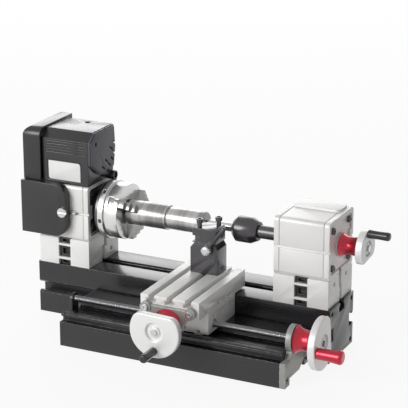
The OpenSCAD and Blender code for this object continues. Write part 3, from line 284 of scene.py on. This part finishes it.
# The axes that turned finishes run round: 0 is X and 1 is Y, with a point in mm
spindleAxis = {"along": 0, "centre": (0, 0, 98)}
leadAxis = {"along": 0, "centre": (0, -67.8, 36.2)}
crossAxis = {"along": 1, "centre": (27, 0, 44.8)}
crimson = {"colour": (0.5, 0.012, 0.035), "metallic": 0.8, "rough": 0.3, "coat": 0.6}
gripBlack = {"colour": (0.016, 0.014, 0.016), "metallic": 0.0, "rough": 0.24, "coat": 0.2}
crankFinishes = {  # each is turned round its own crank's axis
    "cross": {"hub": turned("redCross", **crimson, **crossAxis),
              "grip": turned("gripCross", **gripBlack, **crossAxis)},
    "lead": {"hub": turned("redLead", **crimson, **leadAxis),
             "grip": turned("redLeadGrip", **crimson, **leadAxis)},
    "tail": {"hub": turned("redTail", **crimson, **spindleAxis),
             "grip": turned("gripTail", **gripBlack, **spindleAxis)},
}
materials = {  # one for each slot of the record
    "black_anodised": drawnProfile("blackAnodised", (0.014, 0.013, 0.015), 0.0, 0.25,
                                   (0.2, 0.2, 0.21), coat=0.1),
    "satin_aluminium": blasted("satinAluminium", (0.86, 0.855, 0.84), 0.15, 0.42),
    "cover_black": moulded("coverBlack", (0.02, 0.019, 0.019), 0.3, coat=0.15),
    "motor_black": moulded("motorBlack", (0.026, 0.023, 0.025), 0.28, coat=0.2),
    "motor_cap_grey": moulded("motorCapGrey", (0.085, 0.08, 0.1), 0.42),
    "plate_white": moulded("plateWhite", (0.84, 0.84, 0.83), 0.4, pebble=0.00001, worn=0.9),
    "bright_steel": turned("brightSteel", (0.66, 0.66, 0.66), 0.95, 0.24, **spindleAxis),
    "chuck_steel": turned("chuckSteel", (0.78, 0.78, 0.77), 0.85, 0.24, rings=700, **spindleAxis),
    "bar_steel": turned("barSteel", (0.62, 0.61, 0.6), 0.75, 0.28, rings=620, coarse=1.0,
                        depth=0.000014, **spindleAxis),
    # screw heads: edges five times lighter, partly wear and partly painted glints
    "black_steel": moulded("blackSteel", (0.04, 0.036, 0.042), 0.24, pebble=0.000012, coat=0.5,
                           worn=5.0),
    "dark_steel": turned("darkSteel", (0.12, 0.12, 0.125), 0.85, 0.3, **spindleAxis),
    "wheel_silver": blasted("wheelSilver", (0.86, 0.86, 0.85), 0.25, 0.36, 0.00001),
    "red_anodised": crankFinishes["lead"]["hub"],
    "grip_black": crankFinishes["cross"]["grip"],
    "nut_bronze": turned("nutBronze", (0.6, 0.42, 0.2), 1.0, 0.3, **leadAxis),
    "belt_rubber": moulded("beltRubber", (0.02, 0.02, 0.02), 0.7),
}
blackedTurned = turned("blackTurned", (0.1, 0.095, 0.1), 0.75, 0.26, **spindleAxis)
# A darker copy of the chuck steel for the jaws: painted shade
jawSteel = turned("jawSteel", (0.34, 0.34, 0.335), 1.0, 0.18, rings=700, **spindleAxis)
# A darker copy of satin aluminium for the end plates: painted shade
shadedPlate = blasted("shadedPlate", (0.34, 0.34, 0.325), 0.2, 0.4)
feedSteel = turned("feedSteel", (0.3, 0.3, 0.31), 0.9, 0.28, **leadAxis)
print("finishes made:", len(bpy.data.materials))

for name, part in frame["nodes"].items():
    part.data.materials.clear()
    part.data.materials.append(materials[nodeSlot[name]])
print("nodes finished")


meshSettings = {"softCrease": 50, "turnedCrease": 32,  # degrees
                "merge": 0.000002, "smallest": 0.000001}  # metres


def sharpened(mesh, degrees):
    mesh.set_sharp_from_angle(angle=math.radians(degrees))
    mesh.update()


# A finished piece: it joins the body of the node it stands for, with the given finish or else its
# slot's material
def addPiece(name, mesh, node, finish=None, replaced=(), smooth=True):
    piece = bpy.data.objects.new(name, mesh)
    bpy.context.collection.objects.link(piece)
    if smooth:
        mesh.polygons.foreach_set("use_smooth", [True] * len(mesh.polygons))
        sharpened(mesh, meshSettings["turnedCrease"])
    mesh.materials.clear()
    mesh.materials.append(finish or materials[nodeSlot[node]])
    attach(piece, nodeBody[node])
    if replaced:
        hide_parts(*replaced)


def meshFrom(bm, name):
    mesh = bpy.data.meshes.new(name)
    bm.to_mesh(mesh)
    bm.free()
    return mesh


bevel = {"segments": 2, "profile": 0.6,
         "sharpAngle": 26, "curvedAngle": 0.6, "planarAngle": 0.5}  # degrees


# A copy of a node's mesh with its sharp edges bevelled; the bevel faces have the edge attribute
def softEdges(node, width, finish):
    bm = bmesh.new()
    bm.from_mesh(frame["nodes"][node].data)
    bmesh.ops.remove_doubles(bm, verts=bm.verts, dist=meshSettings["merge"])
    bmesh.ops.dissolve_limit(bm, angle_limit=math.radians(bevel["planarAngle"]), verts=bm.verts,
                             edges=bm.edges)
    layer = bm.faces.layers.float.new("edge")
    curved, limit = math.radians(bevel["curvedAngle"]), math.radians(bevel["sharpAngle"])
    sharp = [e for e in bm.edges if e.is_manifold and e.calc_face_angle(0) > limit]
    for face in bm.faces:  # only the faces of a curved surface are shaded smooth
        face.smooth = any(curved < e.calc_face_angle(0) <= limit
                          for e in face.edges if e.is_manifold)
    made = bmesh.ops.bevel(bm, geom=sharp, offset=width * mm, offset_type="OFFSET",
                           segments=bevel["segments"], profile=bevel["profile"], affect="EDGES",
                           clamp_overlap=False, loop_slide=True)
    for face in made["faces"]:
        face[layer] = 1.0
        face.smooth = True
    bmesh.ops.dissolve_degenerate(bm, dist=meshSettings["smallest"], edges=bm.edges)
    low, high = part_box(node)
    for vert in bm.verts:
        vert.co = Vector([min(max(vert.co[i], low[i]), high[i]) for i in range(3)])
    mesh = meshFrom(bm, node + "_soft")
    sharpened(mesh, meshSettings["softCrease"])
    addPiece(node + "_soft", mesh, node, finish, (node,), smooth=False)


softened = {  # bevel width of each visible node, in mm
    "bed": 0.3, "headstock_spacer": 0.25, "tailstock_spacer": 0.25, "joining_keys": 0.2,
    "headstock_housing": 0.3, "headstock_end_plate": 0.25, "motor_housing": 0.2,
    "motor_end_cap": 0.2, "rating_plate": 0.1, "power_jack": 0.3, "belt_cover_lower": 0.6,
    "belt_cover_upper": 0.5, "tailstock_housing": 0.3, "tailstock_end_plate": 0.25,
    "quill_bush": 0.4, "slide_profile": 0.3, "slide_end_plate": 0.3, "slide_end_cap": 0.3,
    "chuck_body": 0.3, "chuck_back_plate": 0.3, "scroll_ring": 0.3, "chuck_jaw_1": 0.2,
    "chuck_jaw_2": 0.2, "chuck_jaw_3": 0.2, "turned_bar": 0.15, "saddle": 0.25,
    "cross_table": 0.25, "cross_end_plate": 0.35, "tool_post": 0.3, "tool_holder": 0.3,
    "tool_bit": 0.1, "centre_body": 0.3, "centre_point": 0.05,
}
softFinish = {  # the others have the finish of their slot
    "centre_body": blackedTurned, "quill_bush": blackedTurned, "slide_end_plate": shadedPlate,
    "cross_end_plate": shadedPlate, "chuck_jaw_1": jawSteel, "chuck_jaw_2": jawSteel,
    "chuck_jaw_3": jawSteel,
}
for node, width in softened.items():
    softEdges(node, width, softFinish.get(node))
print("edges softened:", len(softened))


# Rings of points joined by faces: each ring is a list of local points of the same length
def skinned(bm, rings, place):
    made = [[bm.verts.new(place(*point)) for point in ring] for ring in rings]
    count = len(made[0])
    for first, second in zip(made, made[1:]):
        for i in range(count):
            j = (i + 1) % count
            bm.faces.new((first[i], first[j], second[j], second[i]))
    bm.faces.new(list(reversed(made[0])))
    bm.faces.new(made[-1])


def circle(radius, z, count, at=(0, 0)):
    angles = [2 * math.pi * i / count for i in range(count)]
    return [(at[0] + radius * math.cos(a), at[1] + radius * math.sin(a), z) for a in angles]


# A hexagon with as many points as a circle, so that a round head can end in a hex socket
def hexagon(across, z, count):
    points = []
    for i in range(count):
        angle = 2 * math.pi * i / count
        reach = across / 2 / math.cos(angle % (math.pi / 3) - math.pi / 6)
        points.append((reach * math.cos(angle), reach * math.sin(angle), z))
    return points


def revolved(bm, profile, place, count, at=(0, 0)):
    skinned(bm, [circle(r, z, count, at) for r, z in profile], place)


def tidied(bm, name):
    bmesh.ops.remove_doubles(bm, verts=bm.verts, dist=meshSettings["smallest"])
    bmesh.ops.recalc_face_normals(bm, faces=bm.faces)
    return meshFrom(bm, name)


# The three cranks, in mm. Local points have z outwards from the hub's inner end. A pin's angle
# is counted from the local x, and a grip's radii are those of its two ends
crank = {
    "cross": {"radius": 22.5, "pinAngle": -92, "pinInset": 6.0, "bore": 5.5, "dish": 8.0,
              "grip": (3.75, 3.75)},
    "lead": {"radius": 22.5, "pinAngle": 187, "pinInset": 6.0, "bore": 5.5, "dish": 8.0,
             "grip": (4.75, 6.0)},
    "tail": {"radius": 16.0, "pinAngle": 96, "pinInset": 2.5, "bore": 6.0, "dish": 7.0,
             "grip": (3.75, 3.75)},
}
hubShape = {"waist": 3.0, "rim": [(0.7, 0.0), (0.2, 0.15), (0.0, 0.6)], "arcStart": 0.9,
            "arcSteps": 24, "points": 64}
wheelShape = {
    "thick": 6.5, "edge": 1.1, "edgeSteps": 5, "flat": 0.65, "corner": 0.36, "points": 120,
    "gap": 0.02,  # from the hub's end
    "dish": [(0.5, 0.0), (0.0, -0.35), (-0.15, -2.2)],  # from the dish's rim
    "boss": [(2.0, -2.2), (1.8, -1.0), (1.4, -0.7), (0.0, -0.7)],  # from the bore's edge
    "middle": (0.02, -0.5), "pin": [(1.5, -1.0), (1.5, 4.0)], "pinPoints": 32,
}
gripShape = {"gap": 0.2, "start": [(0.8, 0.0), (0.25, 0.12), (0.0, 0.5)], "waist": 0.25,
             "waistSteps": 12, "dome": 2.5, "domeSteps": 8, "domeTop": 0.55, "points": 48}


# Adds the sizes that the nodes give to a crank's settings, and returns what places its points
def measured(name, settings):
    low, high = (Vector(corner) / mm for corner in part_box(name + "_hub"))
    gripLow, gripHigh = (Vector(corner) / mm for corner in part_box(name + "_grip"))
    along = 1 if name == "cross" else 0
    middle = (low + high) / 2
    settings["hubLength"] = high[along] - low[along]
    settings["hubRadius"] = (high.z - low.z) / 2
    settings["gripLength"] = gripHigh[along] - gripLow[along]

    def outToFront(x, y, z):
        return Vector((middle.x + x, high.y - z, middle.z + y)) * mm

    def outToRight(x, y, z):
        return Vector((low.x + z, middle.y + x, middle.z + y)) * mm

    return outToFront if along == 1 else outToRight


def hubProfile(settings):
    radius, length, waist = settings["hubRadius"], settings["hubLength"], hubShape["waist"]
    arc = (length * length / 4 + waist * waist) / (2 * waist)
    start, steps = hubShape["arcStart"], hubShape["arcSteps"]
    profile = [(radius - inset, z) for inset, z in hubShape["rim"]]
    for i in range(1, steps):
        z = start + (length - 2 * start) * i / steps
        depth = math.sqrt(max(arc * arc - (z - length / 2) ** 2, 0)) - (arc - waist)
        profile.append((radius - max(depth, 0), z))
    return profile + [(radius - inset, length - z) for inset, z in reversed(hubShape["rim"])]


# A round outline with a flat side opposite the pin, set in by an amount; its points are ordered
# by the direction they face
def wheelRing(settings, inset, z):
    radius = settings["radius"]
    corner, flat = wheelShape["corner"] * radius, wheelShape["flat"] * radius
    cornerX = corner - flat
    cornerY = math.sqrt((radius - corner) ** 2 - cornerX ** 2)
    turn = math.radians(settings["pinAngle"])
    points = []
    for i in range(wheelShape["points"]):
        facing = 2 * math.pi * (i + 0.5) / wheelShape["points"]
        x, y = (radius - inset) * math.cos(facing), (radius - inset) * math.sin(facing)
        if math.cos(facing) < cornerX / (radius - corner):
            side = 1 if math.sin(facing) > 0 else -1
            x = cornerX + (corner - inset) * math.cos(facing)
            y = side * cornerY + (corner - inset) * math.sin(facing)
        points.append((x * math.cos(turn) - y * math.sin(turn),
                       x * math.sin(turn) + y * math.cos(turn), z))
    return points


def roundRing(settings, radius, z):
    turn, count = math.radians(settings["pinAngle"]), wheelShape["points"]
    angles = [turn + 2 * math.pi * (i + 0.5) / count for i in range(count)]
    return [(radius * math.cos(a), radius * math.sin(a), z) for a in angles]


def wheelRings(settings, back, front):
    edge, steps = wheelShape["edge"], wheelShape["edgeSteps"]
    start, bore = back + wheelShape["gap"], settings["bore"] / 2
    quarter = [math.pi / 2 * i / steps for i in range(steps + 1)]
    rings = [roundRing(settings, bore, start)]
    for a in quarter:
        z = start if a == 0 else back + edge * (1 - math.cos(a))
        rings.append(wheelRing(settings, edge * (1 - math.sin(a)), z))
    for a in quarter:
        z = front - edge * (1 - math.sin(a))
        rings.append(wheelRing(settings, edge * (1 - math.cos(a)), z))
    inner = [(settings["dish"] + out, up) for out, up in wheelShape["dish"]]
    inner += [(bore + out, up) for out, up in wheelShape["boss"]] + [wheelShape["middle"]]
    return rings + [roundRing(settings, radius, front + up) for radius, up in inner]


def gripProfile(settings, start):
    first, last = settings["grip"]
    length, dome, steps = settings["gripLength"], gripShape["dome"], gripShape["waistSteps"]
    profile = [(first - inset, start + z) for inset, z in gripShape["start"]]
    bottom = gripShape["start"][-1][1]
    for i in range(1, steps + 1):
        t = i / steps
        r = first + (last - first) * t - gripShape["waist"] * math.sin(math.pi * t)
        profile.append((r, start + bottom + (length - bottom - dome) * t))
    for i in range(1, gripShape["domeSteps"] + 1):
        a, top = math.pi / 2 * i / gripShape["domeSteps"], gripShape["domeTop"]
        r = last * top + last * (1 - top) * math.cos(a)
        profile.append((r, start + length - dome + dome * math.sin(a)))
    return profile


for name, settings in crank.items():
    place = measured(name, settings)
    back = settings["hubLength"]
    front = back + wheelShape["thick"]
    angle = math.radians(settings["pinAngle"])
    reach = settings["radius"] - settings["pinInset"]
    at = (reach * math.cos(angle), reach * math.sin(angle))
    hub, wheel, grip = bmesh.new(), bmesh.new(), bmesh.new()
    revolved(hub, hubProfile(settings), place, hubShape["points"])
    skinned(wheel, wheelRings(settings, back, front), place)
    pin = [(radius, front + up) for radius, up in wheelShape["pin"]]
    revolved(wheel, pin, place, wheelShape["pinPoints"], at)
    profile = gripProfile(settings, front + gripShape["gap"])
    revolved(grip, profile, place, gripShape["points"], at)
    finishes = crankFinishes[name]
    for label, node, bm, finish in (("hub", "hub", hub, finishes["hub"]),
                                    ("wheel", "handwheel", wheel, None),
                                    ("grip", "grip", grip, finishes["grip"])):
        mesh = tidied(bm, name + label.title())
        addPiece(f"{name}_{label}_turned", mesh, f"{name}_{node}", finish, (f"{name}_{node}",))
print("cranks made:", len(crank))


# The clamping lever, in mm and degrees: a bright boss on its pivot, and a dark rod that leaves
# the middle of it and thickens to a ball end
lever = {
    "pivot": (31, -33.8, 87), "angle": 37,
    "boss": {"radius": 4.25, "length": 6, "points": 48,  # ends: how far in, how far along
             "start": [(0.5, 0.0), (0.0, 0.4)],
             "end": [(0.0, 1.2), (0.3, 0.6), (1.0, 0.15), (1.8, 0.0)]},
    "rod": {"radius": 2.0, "length": 29, "points": 32,
            "start": [(0.4, 0.0), (0.4, 8.7), (0.25, 9.28), (0.0, 13.05)],
            "end": [(0.0, 1.5), (0.3, 0.7), (0.9, 0.15), (1.5, 0.0)]},
}


def leverPart(part, place):
    settings, bm = lever[part], bmesh.new()
    radius, length = settings["radius"], settings["length"]
    profile = [(radius - inset, z) for inset, z in settings["start"]]
    profile += [(radius - inset, length - z) for inset, z in settings["end"]]
    revolved(bm, profile, place, settings["points"])
    return tidied(bm, "lever" + part.title())


def bossPlace(x, y, z):
    pivot = lever["pivot"]
    return Vector((pivot[0] + x, pivot[1] - z, pivot[2] + y)) * mm


def rodPlace(x, y, z):
    pivot, a = lever["pivot"], math.radians(lever["angle"])
    return Vector((pivot[0] + x * math.cos(a) + z * math.sin(a),
                   pivot[1] - lever["boss"]["length"] / 2 + y,
                   pivot[2] - x * math.sin(a) + z * math.cos(a))) * mm


addPiece("clamp_lever_boss", leverPart("boss", bossPlace), "clamp_lever",
         materials["bright_steel"])
addPiece("clamp_lever_rod", leverPart("rod", rodPlace), "clamp_lever", None, ("clamp_lever",))
print("lever made")


# A geometry node tree with named inputs, which ends in real geometry with its material
class ShapeTree(Nodes):
    def __init__(self, name, inputs):
        super().__init__(bpy.data.node_groups.new(name, "GeometryNodeTree"))
        self.identifiers = {}
        for label, (kind, default) in inputs.items():
            socket = self.tree.interface.new_socket(label, in_out="INPUT",
                                                    socket_type="NodeSocket" + kind)
            if default is not None:
                socket.default_value = default
            self.identifiers[label] = socket.identifier
        self.tree.interface.new_socket("Geometry", in_out="OUTPUT",
                                       socket_type="NodeSocketGeometry")
        self.source = self.node("NodeGroupInput")

    def given(self, *labels):
        return [self.source.sibling(label) for label in labels]

    def finish(self, geometry):
        real = self.node("GeometryNodeRealizeInstances", None, {0: geometry})
        sockets = {"Geometry": real, "Material": self.source.sibling("Material")}
        painted = self.node("GeometryNodeSetMaterial", None, sockets)
        self.node("NodeGroupOutput", None, {0: painted}, out=None)

    # The plain mesh that the tree makes on a base mesh, with its inputs set
    def made(self, name, base, values):
        carrier = bpy.data.objects.new(name, base)
        bpy.context.collection.objects.link(carrier)
        modifier = carrier.modifiers.new("shape", "NODES")
        modifier.node_group = self.tree
        for label, value in values.items():
            modifier[self.identifiers[label]] = value
        evaluated = carrier.evaluated_get(bpy.context.evaluated_depsgraph_get())
        mesh = bpy.data.meshes.new_from_object(evaluated)
        carrier.modifiers.remove(modifier)
        bpy.data.objects.remove(carrier)
        mesh.name = name
        return mesh


# The feed screws, in mm: a rolled thread between two places, and plain turned ends. The core is
# a little more than a thread's width below the crest
thread = {"pitch": 1.0, "width": 0.36, "perTurn": 18, "sides": 6, "coreDrop": 1.2,
          "corePoints": 40, "chamfer": 0.3, "shortest": 1.0}
feedScrews = {
    "lead_screw": {"along": 0, "threaded": (-79.5, 127.5), "finish": feedSteel},
    "cross_screw": {"along": 1, "threaded": (-97.0, -30.0), "finish": materials["bright_steel"]},
}
screwTree = ShapeTree("feedScrew", {
    "Geometry": ("Geometry", None), "Length": ("Float", 0.1), "Crest Radius": ("Float", 0.00275),
    "Pitch": ("Float", 0.001), "Thread Width": ("Float", 0.00036), "Material": ("Material", None),
})
length, crest, pitch, width = screwTree.given("Length", "Crest Radius", "Pitch", "Thread Width")
windRadius = crest - width
path = screwTree.node("GeometryNodeCurveSpiral", None, {
    "Resolution": thread["perTurn"], "Rotations": length / pitch, "Start Radius": windRadius,
    "End Radius": windRadius, "Height": length})
section = screwTree.node("GeometryNodeCurvePrimitiveCircle", None, {
    "Resolution": thread["sides"], "Radius": width})
wound = screwTree.node("GeometryNodeCurveToMesh", None, {
    "Curve": path, "Profile Curve": section, "Fill Caps": True})
core = screwTree.node("GeometryNodeMeshCylinder", None, {
    "Vertices": thread["corePoints"], "Radius": crest - width * thread["coreDrop"],
    "Depth": length})
middle = screwTree.node("ShaderNodeCombineXYZ", None, {2: length * 0.5})
core = screwTree.node("GeometryNodeTransform", None, {"Geometry": core, "Translation": middle})
screwTree.finish(screwTree.node("GeometryNodeJoinGeometry", None, {0: [wound, core]}))


def addFeedScrew(node, along, threaded, finish):
    low, high = (Vector(corner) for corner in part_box(node))
    middle, radius = (low + high) / 2, (high.z - low.z) / 2
    values = {"Length": (threaded[1] - threaded[0]) * mm, "Crest Radius": radius,
              "Pitch": thread["pitch"] * mm, "Thread Width": thread["width"] * mm,
              "Material": finish}
    mesh = screwTree.made(node + "Thread", bpy.data.meshes.new(node + "Base"), values)
    start = middle.copy()
    start[along] = threaded[0] * mm
    quarter = Matrix.Rotation(math.radians(90 if along == 0 else -90), 4, "YX"[along])
    mesh.transform(Matrix.Translation(start) @ quarter)
    bm = bmesh.new()
    bm.from_mesh(mesh)

    def place(x, y, z):
        point = middle.copy()
        point[along] = z * mm
        point[1 - along] += x * mm
        point[2] += y * mm
        return point

    r, chamfer = radius / mm, thread["chamfer"]
    for first, last in ((low[along] / mm, threaded[0]), (threaded[1], high[along] / mm)):
        if last - first > thread["shortest"]:
            profile = [(r - chamfer, first), (r, first + chamfer), (r, last - chamfer),
                       (r - chamfer, last)]
            revolved(bm, profile, place, thread["corePoints"])
    bmesh.ops.recalc_face_normals(bm, faces=bm.faces)
    addPiece(node + "_threaded", meshFrom(bm, node + "Threaded"), node, finish, (node,))


for node, settings in feedScrews.items():
    addFeedScrew(node, **settings)
print("feed screws threaded:", len(feedScrews))


# Copies of one shape at every point of a base mesh
copyTree = ShapeTree("placedCopies", {
    "Geometry": ("Geometry", None), "Shape": ("Object", None), "Size": ("Float", 1.0),
    "Material": ("Material", None),
})
base, shape, size = copyTree.given("Geometry", "Shape", "Size")
points = copyTree.node("GeometryNodeMeshToPoints", None, {"Mesh": base})
shape = copyTree.node("GeometryNodeObjectInfo", None, {"Object": shape}, out="Geometry")
scale = copyTree.node("ShaderNodeCombineXYZ", None, {i: size for i in range(3)})
copyTree.finish(copyTree.node("GeometryNodeInstanceOnPoints", None, {
    "Points": points, "Instance": shape, "Scale": scale}))

screwSets = {  # socket head screws, in mm; each points outwards along its axis
    "end_plate_screws": {"axis": "x", "head": 6.0, "height": 2.4, "socket": 2.6, "depth": 1.4,
                         "shank": 3.0, "length": 5.0},
    "cross_plate_screws": {"axis": "y", "head": 6.0, "height": 1.6, "socket": 2.6, "depth": 1.0,
                           "shank": 3.0, "length": 12.0},
    "tool_screws": {"axis": "z", "head": 6.0, "height": 3.5, "socket": 3.0, "depth": 1.8,
                    "shank": 4.0, "length": 10.5},
}
screwShape = {"tip": 0.3, "foot": 0.1, "crown": [(0.0, 0.45), (0.15, 0.12), (0.5, 0.0)],
              "mouth": [(0.3, 0.02), (0.0, 0.2)], "drillPoint": (0.2, 0.3), "points": 24}
screwTurns = {"x": lambda x, y, z: Vector((z, x, y)) * mm,
              "y": lambda x, y, z: Vector((x, -z, y)) * mm,
              "z": lambda x, y, z: Vector((x, y, z)) * mm}


# A socket head screw whose head stands on the origin
def socketScrew(name, settings):
    head, top, hexAcross = settings["head"] / 2, settings["height"], settings["socket"]
    shank, tip, foot = settings["shank"] / 2, screwShape["tip"], screwShape["foot"]
    count, floor = screwShape["points"], top - settings["depth"]
    outer = [(shank - tip, -settings["length"]), (shank, tip - settings["length"]), (shank, 0),
             (head - foot, 0), (head, foot)]
    outer += [(head - inset, top - drop) for inset, drop in screwShape["crown"]]
    inner = [(hexAcross + wider, top - drop) for wider, drop in screwShape["mouth"]]
    pointAcross, pointDeep = screwShape["drillPoint"]
    inner += [(hexAcross, floor), (pointAcross, floor - pointDeep)]
    rings = [circle(r, z, count) for r, z in outer] + [hexagon(a, z, count) for a, z in inner]
    bm = bmesh.new()
    skinned(bm, rings, screwTurns[settings["axis"]])
    shape = bpy.data.objects.new(name, tidied(bm, name))
    bpy.context.collection.objects.link(shape)
    return shape


# The places of a node's separate heads, from the outermost points of its islands
def headPlaces(node, settings):
    axis = "xyz".index(settings["axis"])
    sign = -1 if axis == 1 else 1
    bm = bmesh.new()
    bm.from_mesh(frame["nodes"][node].data)
    bmesh.ops.remove_doubles(bm, verts=bm.verts, dist=meshSettings["merge"])
    left, places = set(bm.verts), []
    while left:
        island, queue = [], [left.pop()]
        while queue:
            vert = queue.pop()
            island.append(vert.co)
            for edge in vert.link_edges:
                other = edge.other_vert(vert)
                if other in left:
                    left.discard(other)
                    queue.append(other)
        spot = [(min(c[i] for c in island) + max(c[i] for c in island)) / 2 for i in range(3)]
        spot[axis] = sign * (max(sign * c[axis] for c in island) - settings["height"] * mm)
        places.append(spot)
    bm.free()
    return sorted(places)


for node, settings in screwSets.items():
    shape = socketScrew(node + "Shape", settings)
    base = bpy.data.meshes.new(node + "Places")
    base.from_pydata(headPlaces(node, settings), [], [])
    values = {"Shape": shape, "Size": 1.0, "Material": materials[nodeSlot[node]]}
    mesh = copyTree.made(node + "_heads", base, values)
    bpy.data.objects.remove(shape)
    addPiece(node + "_heads", mesh, node, None, (node,))
print("screws placed:", len(screwSets))

white = (1, 1, 1, 1)
stage = {
    "floorSize": 6.0, "floorColour": (0.8, 0.8, 0.8, 1), "floorRough": 0.6, "glow": 1.0,
    "glowShare": 0.9, "sky": 0.22, "seenSky": 1.0, "seenColour": (0.8, 0.8, 0.8, 1),
    "aim": (0, 0, 0.08),
    "lamps": {
        "keyLamp": {"watts": 35.0, "size": (1.3, 1.1), "at": (-1.0, -1.9, 0.95)},
        "backBox": {"watts": 17.0, "size": (2.2, 1.0), "at": (-0.7, 1.6, 0.75)},
    },
}


# A grey floor that the camera and reflections see as nearly white
def makeFloor():
    bpy.ops.mesh.primitive_plane_add(size=stage["floorSize"])
    floor = bpy.context.object
    floor.name = "floor"
    paint = Finish("floorPaint")
    paint.set(BaseColor=stage["floorColour"], Roughness=stage["floorRough"])
    rays = paint.node("ShaderNodeLightPath", out="Is Camera Ray")
    seen = rays + rays.sibling("Is Glossy Ray") + rays.sibling("Is Transmission Ray")
    sockets = {"Color": white, "Strength": stage["glow"]}
    glow = paint.node("ShaderNodeEmission", None, sockets)
    grey = Flow(paint, paint.shader.outputs[0])
    sockets = {0: seen.limited() * stage["glowShare"], 1: grey, 2: glow}
    mixed = paint.node("ShaderNodeMixShader", None, sockets)
    paint.put(paint.tree.nodes["Material Output"].inputs["Surface"], mixed)
    floor.data.materials.append(paint.material)


# A dim sky that the camera and reflections see brighter
def makeSky():
    world = bpy.data.worlds.new("studio")
    bpy.context.scene.world = world
    world.use_nodes = True
    sky = Nodes(world.node_tree)
    dim = sky.tree.nodes["Background"]
    sky.put(dim.inputs["Color"], white)
    sky.put(dim.inputs["Strength"], stage["sky"])
    sockets = {"Color": stage["seenColour"], "Strength": stage["seenSky"]}
    bright = sky.node("ShaderNodeBackground", None, sockets)
    rays = sky.node("ShaderNodeLightPath", out="Is Camera Ray")
    seen = rays.math("MAXIMUM", rays, rays.sibling("Is Glossy Ray"))
    sockets = {0: seen, 1: Flow(sky, dim.outputs[0]), 2: bright}
    mixed = sky.node("ShaderNodeMixShader", None, sockets)
    sky.put(sky.tree.nodes["World Output"].inputs["Surface"], mixed)


def makeLamp(name, settings):
    data = bpy.data.lights.new(name, "AREA")
    data.shape = "RECTANGLE"
    data.energy = settings["watts"]
    data.size, data.size_y = settings["size"]
    lamp = bpy.data.objects.new(name, data)
    bpy.context.collection.objects.link(lamp)
    lamp.location = settings["at"]
    aim = Vector(stage["aim"]) - lamp.location
    lamp.rotation_euler = aim.to_track_quat("-Z", "Y").to_euler()


makeFloor()
makeSky()
for name, settings in stage["lamps"].items():
    makeLamp(name, settings)

view = {"place": (0.6196, -1.2502, 0.5718), "azimuth": 25.95, "elevation": 18.18, "lens": 149.3,
        "sensor": 36.0}  # the photograph's viewing angle
lens = bpy.data.cameras.new("camera")
lens.lens = view["lens"]
lens.sensor_width = view["sensor"]
camera = bpy.data.objects.new("camera", lens)
bpy.context.collection.objects.link(camera)
camera.location = view["place"]
camera.rotation_euler = (math.radians(90 - view["elevation"]), 0, math.radians(view["azimuth"]))
bpy.context.scene.camera = camera
bpy.context.scene.view_settings.view_transform = "Standard"
print("stage and camera set")
